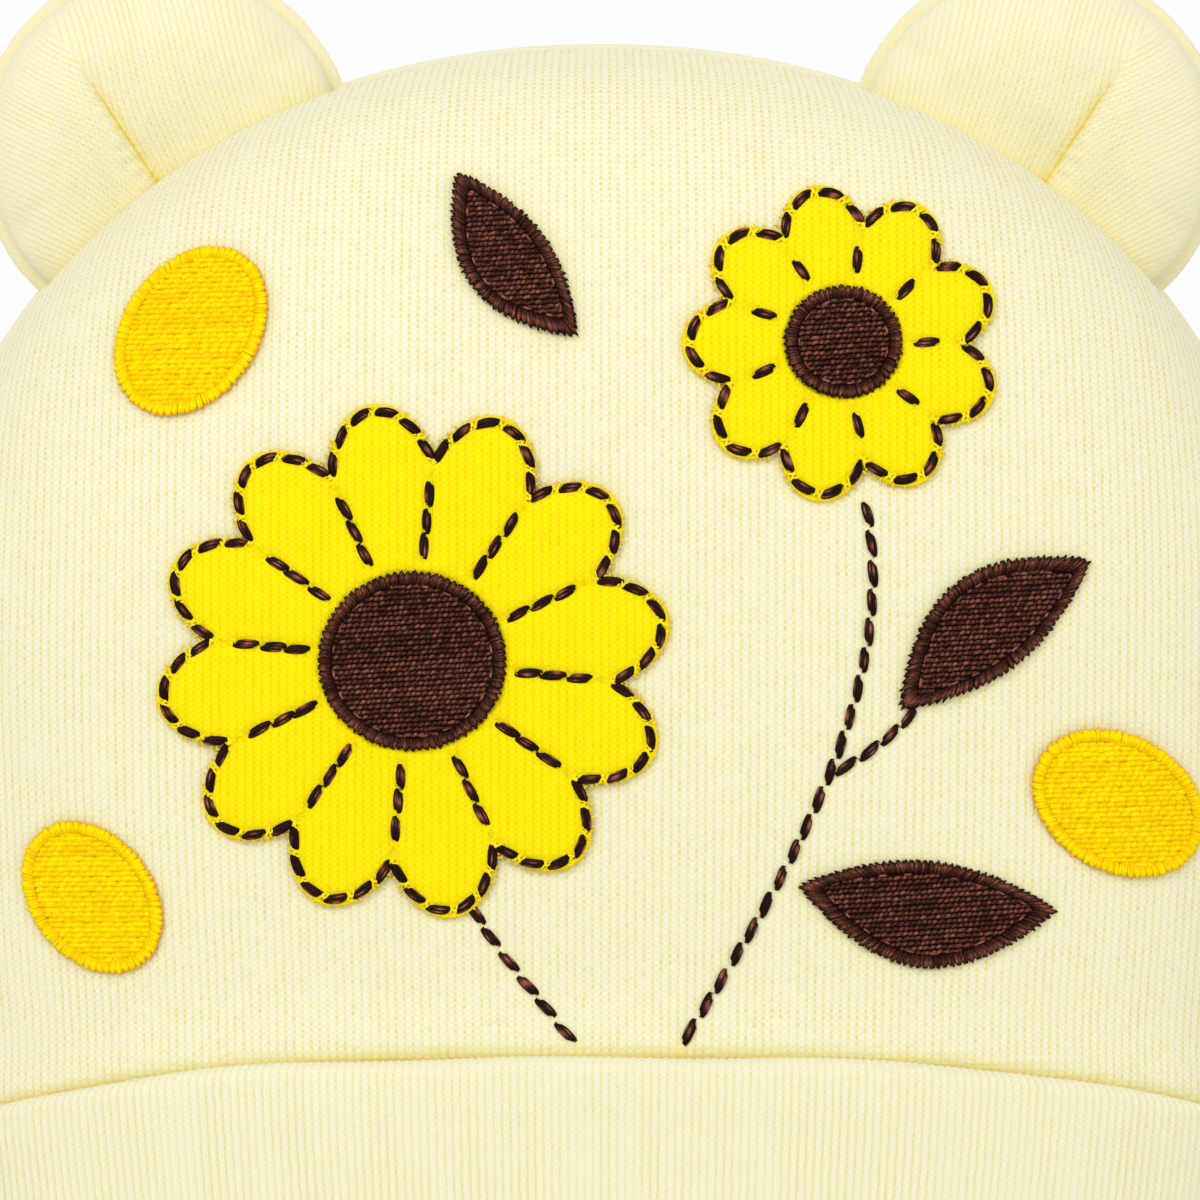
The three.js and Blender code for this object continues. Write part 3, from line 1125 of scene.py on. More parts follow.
@dataclass
class Cuff:
    """The turned-up band: a ring whose section is a tall leg, a fold and a short inner leg."""

    shape: CrownShape
    wall: float = 4.0 * MM
    inner_wall: float = 2.0 * MM
    inner_height: float = 14 * MM
    hem_z: float = HEM_Z
    corner: float = 1.4 * MM
    heel: float = 0.35 * MM
    heel_z: float = 0.3 * MM
    foot: float = 1.1 * MM
    hem_round: float = 0.6 * MM
    leg_steps: int = 9
    fold_steps: int = 8
    wales: int = 400
    per_wale: int = 4
    scallop: float = 0.17 * MM
    fold_band: float = 5 * MM
    sag: float = 0.25 * MM
    belly: float = 0.35 * MM
    rib_height: float = 0.04 * MM
    ripple: float = 0.2 * MM
    ripple_plan: tuple[float, float] = (80 * MM, 40 * MM)
    sag_size: float = 26 * MM
    ripple_size: float = 30 * MM
    side_seam: Ridge = Ridge(0.5 * MM, at=1, width=0.0004)
    outer_leg: Slope = Slope(0.5 * MM, 2 * MM)
    past_inside: Slope = Slope(0.2 * MM, 1.2 * MM)
    rib_depth: Slope = Slope(3 * MM, 12 * MM)
    plain_fold: Slope = Slope(0, 2.2 * MM)

    def build(self, material: bpy.types.Material) -> bpy.types.Object:
        """Models the cuff.

        Args:
            material: The knit.

        Returns:
            The cuff.
        """
        size = self.section(np.array([self.shape.cuff_height])).shape[1]
        stations = self.wales * self.per_wale
        piece = start(Form.GRID, "cuff_knit", stations, size)
        station = np.tile(np.arange(stations + 1), size + 1)
        along = np.repeat(np.arange(size + 1), stations + 1)
        wale = station / self.per_wale
        across, back = self.round(wale)
        mid = self.shape.cuff_height
        top = self.shape.cuff_top(across * self.shape.width_at(mid))
        section = self.section(top[: stations + 1])
        section = np.concatenate([section, section[:, :1]], axis=1)
        out, z = section[station, along].T
        length = self.length_along(section)[station, along]
        rib = np.cos(2 * math.pi * wale)
        high = smooth((z - top + self.fold_band) / self.fold_band)
        outer = self.outer_leg.over(out)
        wide, deep = across * self.ripple_plan[0], back * self.ripple_plan[1]
        z = z - self.scallop * (1 - rib) / 2 * high * outer
        z = z - self.sag * waves(wide, deep, self.sag_size, 11) * high
        puff = np.sin(np.clip(z / top, 0, 1) * math.pi) * self.belly * outer
        out = out + puff + rib * self.rib_height * outer
        out = out - self.side_seam.over(np.abs(across)) * outer
        out = out + outer * self.ripple * waves(wide, z + deep, self.ripple_size, 5)
        x = across * (self.shape.width_at(z) + out)
        y = back * (self.shape.depth_at(z) + out + self.shape.gap / 2)
        move_to(piece, np.stack([x, y, z], axis=1))
        set_cloth(piece, wale, length / GAUGE.course)
        # Painted shade where the cuff lies against the crown and inside the cap.
        set_tone(piece, CREASE_SHADE, 0.3 * (1 - self.past_inside.over(out)))
        below = top - z
        set_tone(piece, RIBBED, 0.55 + 0.3 * self.rib_depth.over(below))
        set_tone(piece, PLAIN, 0.55 * (1 - self.plain_fold.over(below)))
        join_edges(piece)
        return finish_piece(piece, material, ["cuff"])

    def round(self, wale: np.ndarray) -> tuple[np.ndarray, np.ndarray]:
        """Where each wale stands in plan.

        Args:
            wale: Wales round from the middle of the front.

        Returns:
            The places across and back, as shares of the half width and the half depth.
        """
        reaches, lengths = self.shape.arc_table()
        even = lengths / lengths[-1]
        turn = wale / self.wales * 4
        quarter = np.floor(turn).astype(int) % 4
        part = turn - np.floor(turn)
        from_middle = np.where(quarter % 2 == 0, part, 1 - part)
        reach = np.interp(from_middle, even, reaches)
        x_sign = np.where((quarter == 0) | (quarter == 1), 1, -1)
        y_sign = np.where((quarter == 0) | (quarter == 3), -1, 1)
        return x_sign * reach, y_sign * self.shape.bulge(reach)

    def section(self, top: np.ndarray) -> np.ndarray:
        """The section at each station as points of distance out of the crown, and height.

        Args:
            top: The height of the folded edge at each station.

        Returns:
            An array of stations by points by two.
        """
        gap, wall = self.shape.gap, self.wall
        inside, outside = gap, gap + wall
        leg_out = -self.shape.wall - gap
        leg_in = leg_out - self.inner_wall
        half, hem, leg_top = wall / 2, self.hem_round, self.inner_height
        corner, heel, heel_z, foot = self.corner, self.heel, self.heel_z, self.foot
        zero = np.zeros_like(top)
        points = [(leg_in + corner, zero), (0.0, zero), (outside - corner, zero)]
        points += [(outside - heel, zero + heel_z), (outside, zero + foot)]
        for step in range(1, self.leg_steps + 1):
            points.append((outside, foot + (top - half - foot) * step / self.leg_steps))
        for step in range(1, self.fold_steps):
            angle = math.pi * step / self.fold_steps
            middle = (inside + outside) / 2
            points.append((middle + half * math.cos(angle), top - half + half * math.sin(angle)))
        points += [(inside, top - half), (inside, top * 0.6), (inside, top * 0.3)]
        low = zero + self.hem_z - gap
        points += [(inside, low), (leg_out, low), (leg_out, zero + leg_top - hem)]
        points += [(leg_out - hem, zero + leg_top), (leg_in + hem, zero + leg_top)]
        points += [(leg_in, zero + leg_top - hem), (leg_in, zero + leg_top / 2)]
        points += [(leg_in, zero + foot), (leg_in + heel, zero + heel_z)]
        return np.stack([np.stack([zero + out, z + zero], axis=1) for out, z in points], axis=1)

    @staticmethod
    def length_along(section: np.ndarray) -> np.ndarray:
        """Cloth length along each section from its first point."""
        steps = np.linalg.norm(np.diff(section, axis=1), axis=2)
        return np.concatenate([np.zeros((len(section), 1)), np.cumsum(steps, axis=1)], axis=1)


def join_edges(piece: bpy.types.Object, merge: bool = True) -> None:
    """Turns a closed mesh's faces outwards.

    Args:
        piece: The mesh.
        merge: Whether to merge the edges of a rolled-up grid first.
    """
    pick(piece)
    bpy.ops.object.mode_set(mode="EDIT")
    bpy.ops.mesh.select_all(action="SELECT")
    if merge:
        bpy.ops.mesh.remove_doubles(threshold=0.002 * MM)
    bpy.ops.mesh.normals_make_consistent(inside=False)
    bpy.ops.object.mode_set(mode="OBJECT")


# Ears


@dataclass(frozen=True)
class Fan:
    """How the wales of one half of an ear's face spread out from below the seam."""

    depth: float
    shift: float
    scale: float


INNER_FAN = Fan(depth=60 * MM, shift=5 * MM, scale=84 * MM)
OUTER_FAN = Fan(depth=38 * MM, shift=8 * MM, scale=64 * MM)


@dataclass(frozen=True)
class Stuffing:
    """How the cloth simulation blows up an ear, on a larger copy."""

    scale: float = 20.0
    quality: int = 6
    mass: float = 0.3
    stretch_stiffness: float = 18
    bend_stiffness: float = 1.2
    pressure: float = 4
    frames: int = 20
    cache_end: int = 24
    swell: float = 1.3 * MM
    held_below: float = 0.4 * MM
    freedom: Slope = Slope(0, 9 * MM)

    def fill(self, piece: bpy.types.Object, above: np.ndarray) -> None:
        """Blows a piece up as its stuffing does, and no point moves further than the swell.

        Args:
            piece: The cover.
            above: Height of each vertex over the seam that holds the piece's foot.
        """
        before = places_of(piece).copy()
        pick(piece)
        bpy.ops.object.duplicate()
        bag = bpy.context.object
        move_to(bag, before * self.scale)
        group = bag.vertex_groups.new(name="held")
        held = np.flatnonzero(above < self.held_below)
        group.add([int(i) for i in held], 1.0, "REPLACE")
        modifier = bag.modifiers.new("Cloth", "CLOTH")
        cloth = modifier.settings
        cloth.quality = self.quality
        cloth.mass = self.mass
        cloth.vertex_group_mass = group.name
        cloth.tension_stiffness = cloth.compression_stiffness = self.stretch_stiffness
        cloth.bending_stiffness = self.bend_stiffness
        cloth.use_pressure = True
        cloth.uniform_pressure_force = self.pressure
        cloth.effector_weights.gravity = 0
        modifier.point_cache.frame_end = self.cache_end
        scene = bpy.context.scene
        for frame in range(1, self.frames + 1):
            scene.frame_set(frame)
        bpy.ops.object.modifier_apply(modifier=modifier.name)
        moved = places_of(bag) / self.scale - before
        scene.frame_set(1)
        bpy.ops.object.delete()
        long = np.linalg.norm(moved, axis=1, keepdims=True)
        LOG.info("%s swells by up to %.2f mm", piece.name, long.max() / MM)
        moved = moved * (0, 1, 0) * self.freedom.over(above)[:, None]
        move_to(piece, before + moved * np.minimum(1, self.swell / np.maximum(long, 1e-9)))


@dataclass
class Ear:
    """A stuffed half disc that stands out of the arch seam, with a pleat up its middle."""

    shape: CrownShape
    side: int
    radius: float = 20.5 * MM
    centre_x: float = 50.1 * MM
    centre_z: float = 142.6 * MM
    arch_centre_z: float = 66.9 * MM
    half_thickness: float = 7.4 * MM
    fullness: float = 2.6
    pinch_share: float = 0.78
    pinch_height: float = 11 * MM
    pleat_length: float = 16 * MM
    pleat_shift: float = 2.8 * MM
    fold: float = 1.2 * MM
    fold_widths: tuple[float, float] = (0.8 * MM, 0.25 * MM)
    valley: Ridge = Ridge(0.9 * MM, at=-1.2 * MM, width=3.2 * MM)
    shoulder: Ridge = Ridge(0.5 * MM, at=2.4 * MM, width=2.4 * MM)
    pucker: Ridge = Ridge(0.09 * MM, at=0.9 * MM, width=1 * MM)
    pucker_pitch: float = 1.9 * MM
    rim: Slope = Slope(0.8, 0.2)
    band: float = 1.5 * MM
    band_rise: Slope = Slope(0, 1.2 * MM)
    band_fall: Slope = Slope(3.5 * MM, 4 * MM)
    groove: Ridge = Ridge(0.3 * MM, at=0, width=0.9 * MM)
    tucks: Ridge = Ridge(0.05 * MM, at=-1.5 * MM, width=2 * MM)
    gathers: int = 60
    seat_depth: float = 0.35 * MM
    seam_depth: Ridge = Ridge(0.9 * MM, at=0, width=1.8 * MM)
    pleat_shade_fade: Slope = Slope(5 * MM, 9 * MM)
    fold_shade: Ridge = Ridge(0.3, at=-0.5 * MM, width=0.8 * MM)
    sewn_shade: Ridge = Ridge(0.22, at=0.5 * MM, width=0.9 * MM)
    foot_shade: float = 0.6
    foot_height: float = 1.5 * MM
    ribbed: Slope = Slope(0.35, 0.5)
    plain: Slope = Slope(0.87, 0.12)
    stuffing: Stuffing = Stuffing()

    def build(self, material: bpy.types.Material) -> bpy.types.Object:
        """Models the ear: a flattened ball is blown up, then the pleat is drawn in.

        Args:
            material: The knit.

        Returns:
            The ear.
        """
        name = "ear_left" if self.side < 0 else "ear_right"
        piece = start(Form.BALL, f"{name}_knit", 96, 64)
        out, along, face = self.flat_places(places_of(piece))
        move_to(piece, self.seat(self.in_frame(out, along, face * self.thickness(out))))
        join_edges(piece, merge=False)
        self.stuffing.fill(piece, self.above_crown(places_of(piece)))
        apply_modifier(piece, "SUBSURF", levels=1, render_levels=1)
        points = places_of(piece)
        out, along = self.own_places(points)
        front = points[:, 1] < 0
        points[:, 1] += np.where(front, 1, 0) * self.pleat(out, along)
        points = self.seam_round(points, out, along)
        points = self.seat(points)
        move_to(piece, points)
        self.map_wales(piece)
        out, along = self.own_places(points)
        # Painted shade along the pleat, fading out from the seam, and in the fold, at the ear's
        # foot and its sewn rim.
        off = self.off_pleat(along)
        depth = (1 - self.pleat_shade_fade.over(out)) * front
        set_tone(piece, OFF_PLEAT, off / MM)
        set_tone(piece, PLEAT_SHADE, depth)
        foot = np.exp(-np.clip(self.above_crown(points), 0, None) / self.foot_height) * front
        shade_by = self.fold_shade.over(off) * depth + self.foot_shade * foot
        shade_by = shade_by + self.sewn_shade.over(points[:, 1])
        set_tone(piece, CREASE_SHADE, np.clip(shade_by, 0, 1))
        far = np.hypot(out, along) / self.radius
        set_tone(piece, RIBBED, self.ribbed.over(far))
        set_tone(piece, PLAIN, self.plain.over(far) * 0.8)
        finish_piece(piece, material, [name])
        return piece

    def flat_places(self, ball: np.ndarray) -> tuple[np.ndarray, np.ndarray, np.ndarray]:
        """Spreads the ball over the disc.

        Args:
            ball: The primitive's places, on a unit ball.

        Returns:
            Distance out of the seam, distance along it, and the share of the thickness, which is
            negative in front.
        """
        polar = np.arccos(np.clip(ball[:, 2], -1, 1))
        angle = np.arctan2(ball[:, 1], ball[:, 0])
        power = 2 / self.fullness
        reach = np.abs(np.sin(polar)) ** power
        face = np.sign(ball[:, 2]) * np.abs(np.cos(polar)) ** power
        return reach * self.radius * np.cos(angle), reach * self.radius * np.sin(angle), -face

    def thickness(self, out: np.ndarray) -> np.ndarray:
        """Half the thickness that the full face has at a distance out of the seam."""
        pinch = self.pinch_share + (1 - self.pinch_share) * smooth(out / self.pinch_height)
        return self.half_thickness * pinch

    def own_places(self, points: np.ndarray) -> tuple[np.ndarray, np.ndarray]:
        """Distance out of the seam and along it."""
        centre, outward, beside = self.axes()
        return (points - centre) @ outward, (points - centre) @ beside

    def pleat(self, out: np.ndarray, along: np.ndarray) -> np.ndarray:
        """A sharp fold in a soft valley, fuller on its outer side.

        Args:
            out: Distance out of the seam.
            along: Distance along the seam.

        Returns:
            How far the front is drawn in at each place.
        """
        fade = 1 - smooth((out - 0.45 * self.pleat_length) / (0.6 * self.pleat_length))
        away = self.off_pleat(along)
        width = np.where(away > 0, self.fold_widths[1], self.fold_widths[0])
        fold = self.fold * np.exp(-((np.abs(away) / width) ** 1.2))
        soft = self.valley.over(away) - self.shoulder.over(away)
        pucker = np.sin(out * 2 * math.pi / self.pucker_pitch) * self.pucker.over(away)
        return (fold + soft + pucker) * fade

    def off_pleat(self, along: np.ndarray) -> np.ndarray:
        """Distance along the seam from the pleat, more than 0 on the ear's outer side."""
        return along * self.outer_way() - self.pleat_shift

    def outer_way(self) -> int:
        """The sign that along has on the ear's outer half."""
        _, _, beside = self.axes()
        return 1 if beside[0] * self.side > 0 else -1

    def seam_round(self, points: np.ndarray, out: np.ndarray, along: np.ndarray) -> np.ndarray:
        """Nips the rim where the two discs are sewn, and lets the back one show beyond it.

        Args:
            points: The ear's vertices.
            out: Their distances out of the seam.
            along: Their distances along it.

        Returns:
            The vertices with the sewn rim.
        """
        centre, _, _ = self.axes()
        ray = points - centre
        ray[:, 1] = 0
        far = np.linalg.norm(ray, axis=1, keepdims=True)
        rim = self.rim.over(far[:, 0] / self.radius)
        angle = np.arctan2(along, out)
        y = points[:, 1]
        gathers = np.sin(angle * self.gathers)
        groove = self.groove.over(y) * (1 + 0.15 * gathers)
        band = self.band * self.band_rise.over(y) * (1 - self.band_fall.over(y))
        tucks = self.tucks.over(y) * gathers
        return points + ray / np.maximum(far, 1e-9) * ((band - groove + tucks) * rim)[:, None]

    def map_wales(self, piece: bpy.types.Object) -> None:
        """Writes the stitch map, with the two halves of the front meeting in the pleat.

        Args:
            piece: The ear.
        """
        corners, face = corners_of(piece)
        points = places_of(piece)[corners]
        out, along = self.own_places(points)
        away = self.off_pleat(along)
        half = np.sign(np.bincount(face, weights=away))[face]
        result_u, result_v = np.zeros(len(out)), np.zeros(len(out))
        for sign, fan in ((1, OUTER_FAN), (-1, INNER_FAN)):
            blend = smooth((out - 2 * MM) / (20 * MM)) * bell(away, 14 * MM)
            beside = away + sign * fan.shift * (1 - blend)
            turn = np.arctan2(beside, out + fan.depth)
            far = np.hypot(beside, out + fan.depth)
            mine = half == sign
            result_u[mine] = (turn * fan.scale / GAUGE.wale)[mine]
            result_v[mine] = (far / GAUGE.course)[mine]
        set_cloth(piece, result_u, result_v)

    def axes(self) -> tuple[np.ndarray, np.ndarray, np.ndarray]:
        """The ear's own axes.

        Returns:
            Its middle on the seam, its way out and its way along the seam.
        """
        centre = np.array([self.side * self.centre_x, 0, self.centre_z])
        outward = centre - (0, 0, self.arch_centre_z)
        outward /= np.linalg.norm(outward)
        return centre, outward, self.side * np.array([outward[2], 0, -outward[0]])

    def in_frame(self, out: np.ndarray, along: np.ndarray, y: np.ndarray) -> np.ndarray:
        """Turns the ear's own places into the object's.

        Args:
            out: Distance out of the seam.
            along: Distance along it.
            y: The y of each place.

        Returns:
            The places in the object's frame.
        """
        centre, outward, beside = self.axes()
        points = centre + out[:, None] * outward + along[:, None] * beside
        points[:, 1] = y
        return points

    def above_crown(self, points: np.ndarray) -> np.ndarray:
        """Height over the crown along the ear's way out.

        Args:
            points: Places in the object's frame.

        Returns:
            The height of each, less than 0 inside the crown.
        """
        _, outward, _ = self.axes()
        low, high = np.full(len(points), -24 * MM), np.full(len(points), 45 * MM)
        for _ in range(26):
            middle = (low + high) / 2
            moved = points - middle[:, None] * outward
            inside = self.inside(moved)
            low, high = np.where(inside, low, middle), np.where(inside, middle, high)
        return (low + high) / 2

    def inside(self, points: np.ndarray) -> np.ndarray:
        """Whether each point lies in the crown, made smaller by the ear's seat.

        Args:
            points: Places in the object's frame.

        Returns:
            True where a point is inside.
        """
        x, y, z = points.T
        grow = -self.seat_depth - self.seam_depth.over(y)
        front, back = (np.abs(self.shape.surface_y(way, x, z, grow)) for way in (-1, 1))
        near, far = (self.shape.reach(x, z, self.shape.inset(way, z) - grow) for way in (-1, 1))
        deep_enough = np.abs(y) < np.where(y < 0, front, back)
        return deep_enough & (np.where(y < 0, near, far) < 1)

    def seat(self, points: np.ndarray) -> np.ndarray:
        """Moves what would lie in the crown out to its surface.

        Args:
            points: The ear's vertices.

        Returns:
            The vertices, seated.
        """
        _, outward, _ = self.axes()
        rise = np.clip(-self.above_crown(points), 0, None)
        return points + rise[:, None] * outward


# Motifs


@dataclass(frozen=True)
class Line:
    """A line on the front, as places across and up."""

    places: np.ndarray
    closed: bool = False

    def marks(self) -> np.ndarray:
        """Length from the start to each place."""
        steps = np.linalg.norm(np.diff(self.round(), axis=0), axis=1)
        return np.concatenate([[0], np.cumsum(steps)])

    def round(self) -> np.ndarray:
        """The places, with the first again at the end of a closed line."""
        return np.vstack([self.places, self.places[:1]]) if self.closed else self.places

    def length(self) -> float:
        """The whole length."""
        return float(self.marks()[-1])

    def at(self, lengths: np.ndarray) -> np.ndarray:
        """Places on the line.

        Args:
            lengths: Lengths from the start.

        Returns:
            The place at each.
        """
        marks, places = self.marks(), self.round()
        spots = lengths % marks[-1] if self.closed else lengths
        return np.stack([np.interp(spots, marks, places[:, k]) for k in (0, 1)], axis=-1)

    def beside(self, lengths: np.ndarray) -> np.ndarray:
        """Directions to the left of the line.

        Args:
            lengths: Lengths from the start.

        Returns:
            A unit vector at each length.
        """
        step = 0.15 * MM
        ahead = self.at(lengths + step) - self.at(lengths - step)
        ahead /= np.maximum(np.linalg.norm(ahead, axis=-1, keepdims=True), 1e-9)
        return np.stack([-ahead[..., 1], ahead[..., 0]], axis=-1)


def bezier(*corners: tuple[float, float]) -> Line:
    """Draws a smooth open line.

    Args:
        corners: Its control places, in millimetres.

    Returns:
        The line, in metres.
    """
    t = np.linspace(0, 1, 60)[:, None]
    rungs = [np.array(corner, float) * MM + 0 * t for corner in corners]
    while len(rungs) > 1:
        rungs = [(1 - t) * a + t * b for a, b in zip(rungs, rungs[1:])]
    return Line(rungs[0])


@dataclass(frozen=True)
class Motif:
    """A flat shape on the front: where it lies and how it is turned, in millimetres."""

    node: str
    x: float
    z: float
    turn: float = 0.0

    def local(self, share: np.ndarray, inset: float) -> np.ndarray:
        """The outline about the motif's own middle.

        Args:
            share: How far round each place is, from 0 to 1.
            inset: How far inside the outline, in millimetres.

        Returns:
            The places, in millimetres.
        """
        raise NotImplementedError

    def line(self, inset: float = 0.0, count: int = 480) -> Line:
        """The closed outline, or one inside it.

        Args:
            inset: How far inside, in millimetres.
            count: Number of places.

        Returns:
            The line, in metres.
        """
        across, up = self.local(np.arange(count) / count, inset).T
        c, s = math.cos(self.turn), math.sin(self.turn)
        spots = np.stack([self.x + across * c - up * s, self.z + across * s + up * c], axis=1)
        return Line(spots * MM, closed=True)

    def middle(self) -> np.ndarray:
        """The middle, in metres."""
        return np.array([self.x, self.z]) * MM


@dataclass(frozen=True)
class Oval(Motif):
    """An oval."""

    half_x: float = 5.0
    half_z: float = 5.0

    def local(self, share: np.ndarray, inset: float) -> np.ndarray:
        """The outline about the motif's own middle.

        Args:
            share: How far round each place is, from 0 to 1.
            inset: How far inside the outline, in millimetres.

        Returns:
            The places, in millimetres.
        """
        angle = share * 2 * math.pi
        across, up = self.half_x - inset, self.half_z - inset
        return np.stack([across * np.cos(angle), up * np.sin(angle)], axis=1)


@dataclass(frozen=True)
class Leaf(Motif):
    """A pointed leaf whose middle line bends."""

    length: float = 27.0
    width: float = 11.0
    bend: float = 1.5

    def local(self, share: np.ndarray, inset: float) -> np.ndarray:
        """The outline about the motif's own middle.

        Args:
            share: How far round each place is, from 0 to 1.
            inset: How far inside the outline, in millimetres.

        Returns:
            The places, in millimetres.
        """
        half = np.where(share < 0.5, share * 2, 2 - share * 2)
        half = half - np.sin(2 * math.pi * half) * 0.09
        side = np.where(share < 0.5, -1, 1)
        length, width = self.length - 3.4 * inset, self.width - 2 * inset
        wide = side * width / 2 * np.sin(math.pi * half) ** 0.85
        up = wide + self.bend * (1 - (2 * half - 1) ** 2)
        return np.stack([(half - 0.5) * length, up], axis=1)


@dataclass(frozen=True)
class Sunflower(Motif):
    """A ring of round petals."""

    tip: float = 29.0
    valley: float = 22.5
    petals: int = 12

    def local(self, share: np.ndarray, inset: float) -> np.ndarray:
        """The outline about the motif's own middle.

        Args:
            share: How far round each place is, from 0 to 1.
            inset: How far inside the outline, in millimetres.

        Returns:
            The places, in millimetres.
        """
        angle = share * 2 * math.pi
        wave = np.abs(np.cos(self.petals * angle / 2)) ** 0.75
        if inset:
            wave = (np.cos(self.petals * angle / 2) ** 2 + 0.003) ** 0.375
        radius = self.valley - inset + (self.tip - self.valley) * wave
        return np.stack([radius * np.cos(angle), radius * np.sin(angle)], axis=1)

    def separators(self, inner: float) -> list[Line]:
        """The lines between the petals, out from the flower's middle.

        Args:
            inner: Where they start, in millimetres from the middle.

        Returns:
            The lines, in metres.
        """
        lines = []
        for index in range(self.petals):
            angle = self.turn + (2 * index + 1) * math.pi / self.petals
            way = np.array([math.cos(angle), math.sin(angle)])
            radii = np.linspace(inner, self.valley - 2.4, 30)[:, None] * MM
            lines.append(Line(self.middle() + radii * way))
        return lines


SUNFLOWERS = (
    Sunflower("sunflower_large", -21, 84, 0.16, tip=29, valley=22.5, petals=12),
    Sunflower("sunflower_small", 27, 119.5, 0.35, tip=18, valley=13.6, petals=9),
)
CENTRES = (
    Oval("flower_centre_large", -21, 84, half_x=10.5, half_z=10.0),
    Oval("flower_centre_small", 27, 119.5, half_x=6.6, half_z=6.3),
)
LEAVES = (
    Leaf("leaf_upper", 44, 87, 0.66, length=27, width=11.5, bend=1.5),
    Leaf("leaf_lower", 36.5, 57.5, -0.1, length=29, width=12, bend=-1.8),
    Leaf("leaf_top", -9.5, 129.5, 2.2, length=23, width=10, bend=1.2),
)
BUDS = (
    Oval("bud_left", -46, 121, 0.95, half_x=10.4, half_z=7.7),
    Oval("bud_right", 58, 68, -0.5, half_x=10.4, half_z=7.7),
    Oval("bud_low", -57, 57.5, -0.9, half_x=9.4, half_z=7.0),
)
STEMS = (
    bezier((29.5, 102), (33, 84), (25, 66), (9, 41.5)),
    bezier((-16, 60.5), (-14, 54), (-9, 49), (-3, 41.5)),
    bezier((26, 71.5), (30.5, 74), (33, 76), (35.5, 79)),
)


def rounded(samples: int, share: float) -> np.ndarray:
    """A profile that is 1 along the middle and falls to 0 in a round end.

    Args:
        samples: Number of values.
        share: How much of the length each end takes.

    Returns:
        The profile.
    """
    t = np.linspace(0, 1, samples)
    near = np.clip(np.minimum(t, 1 - t) / share, 0, 1)
    return np.sqrt(1 - (1 - near) ** 2)


def uneven(random: np.random.Generator, rows: int, samples: int, knots: int = 14) -> np.ndarray:
    """Rows of soft random waves.

    Args:
        random: Where the numbers come from.
        rows: Number of rows.
        samples: Values in each.
        knots: Random values in each, which the rest lie between.

    Returns:
        The values, mostly from -1 to 1.
    """
    marks = np.linspace(0, knots - 1.001, samples)
    whole = marks.astype(int)
    share = smooth(marks - whole)
    table = random.normal(0, 0.6, (rows, knots))
    return table[:, whole] * (1 - share) + table[:, whole + 1] * share


@dataclass
class Threads:
    """Threads on the front, each a row of samples with its place, height, thickness and tone, which
    holds painted highlights and shade.
    """

    places: np.ndarray
    lift: np.ndarray
    radius: np.ndarray
    tone: np.ndarray

    @classmethod
    def all_of(cls, bundles: "Sequence[Threads]") -> "Threads":
        """Puts bundles with equal sample counts together."""
        names = ("places", "lift", "radius", "tone")
        return cls(*(np.concatenate([getattr(b, name) for b in bundles]) for name in names))

    def build(self, shape: CrownShape, name: str, around: int = 6) -> bpy.types.Object:
        """Models the threads.

        Args:
            shape: The crown that they lie on.
            name: The piece's name.
            around: Sides of each thread.

        Returns:
            The mesh.
        """
        centre = shape.front_points(self.places, self.lift)
        normal = shape.normals(-1, self.places[..., 0], self.places[..., 1])
        return thread_mesh(name, centre, normal, self.radius, self.tone, around)


def thread_mesh(
    name: str,
    centre: np.ndarray,
    normal: np.ndarray,
    radius: np.ndarray,
    tone: np.ndarray,
    around: int,
) -> bpy.types.Object:
    """Models threads: one is made, an array repeats it, and each is laid along its line.

    Args:
        name: The piece's name.
        centre: Middle of each sample, as threads by samples by three.
        normal: Way up at each sample.
        radius: Half the thickness at each sample.
        tone: Lightness at each sample: random tone, with painted highlights and shade.
        around: Sides of each thread.

    Returns:
        The mesh.
    """
    count, samples = radius.shape
    piece = start(Form.BALL, name, around, samples - 1)
    ball = places_of(piece).copy()
    apply_modifier(piece, "ARRAY", count=count, use_relative_offset=False)
    level = np.rint(np.arccos(np.clip(ball[:, 2], -1, 1)) * (samples - 1) / math.pi).astype(int)
    round_it = np.arctan2(ball[:, 1], ball[:, 0])
    ahead = np.gradient(centre, axis=1)
    ahead /= np.maximum(np.linalg.norm(ahead, axis=2, keepdims=True), 1e-12)
    beside = np.cross(ahead, normal)
    beside /= np.maximum(np.linalg.norm(beside, axis=2, keepdims=True), 1e-12)
    above = np.cross(beside, ahead)
    ring = np.cos(round_it)[None, :, None] * beside[:, level]
    ring = ring + np.sin(round_it)[None, :, None] * above[:, level]
    move_to(piece, (centre[:, level] + ring * radius[:, level, None]).reshape(-1, 3))
    marks = np.cumsum(np.linalg.norm(np.diff(centre, axis=1, prepend=centre[:, :1]), axis=2), 1)
    turn = np.broadcast_to(round_it / math.pi, (count, len(ball)))
    phase = np.arange(count)[:, None] * 0.618
    set_cloth(piece, turn.ravel(), (marks[:, level] / (0.5 * MM) + phase).ravel())
    # Painted highlight: each thread is lighter on its top side.
    painted_top_light = np.sin(round_it)[None, :]
    set_tone(piece, TONE_AND_PAINTED_LIGHT, (tone[:, level] * (0.8 + 0.3 * painted_top_light) + 0.06 * painted_top_light).ravel())
    join_edges(piece, merge=False)
    return piece


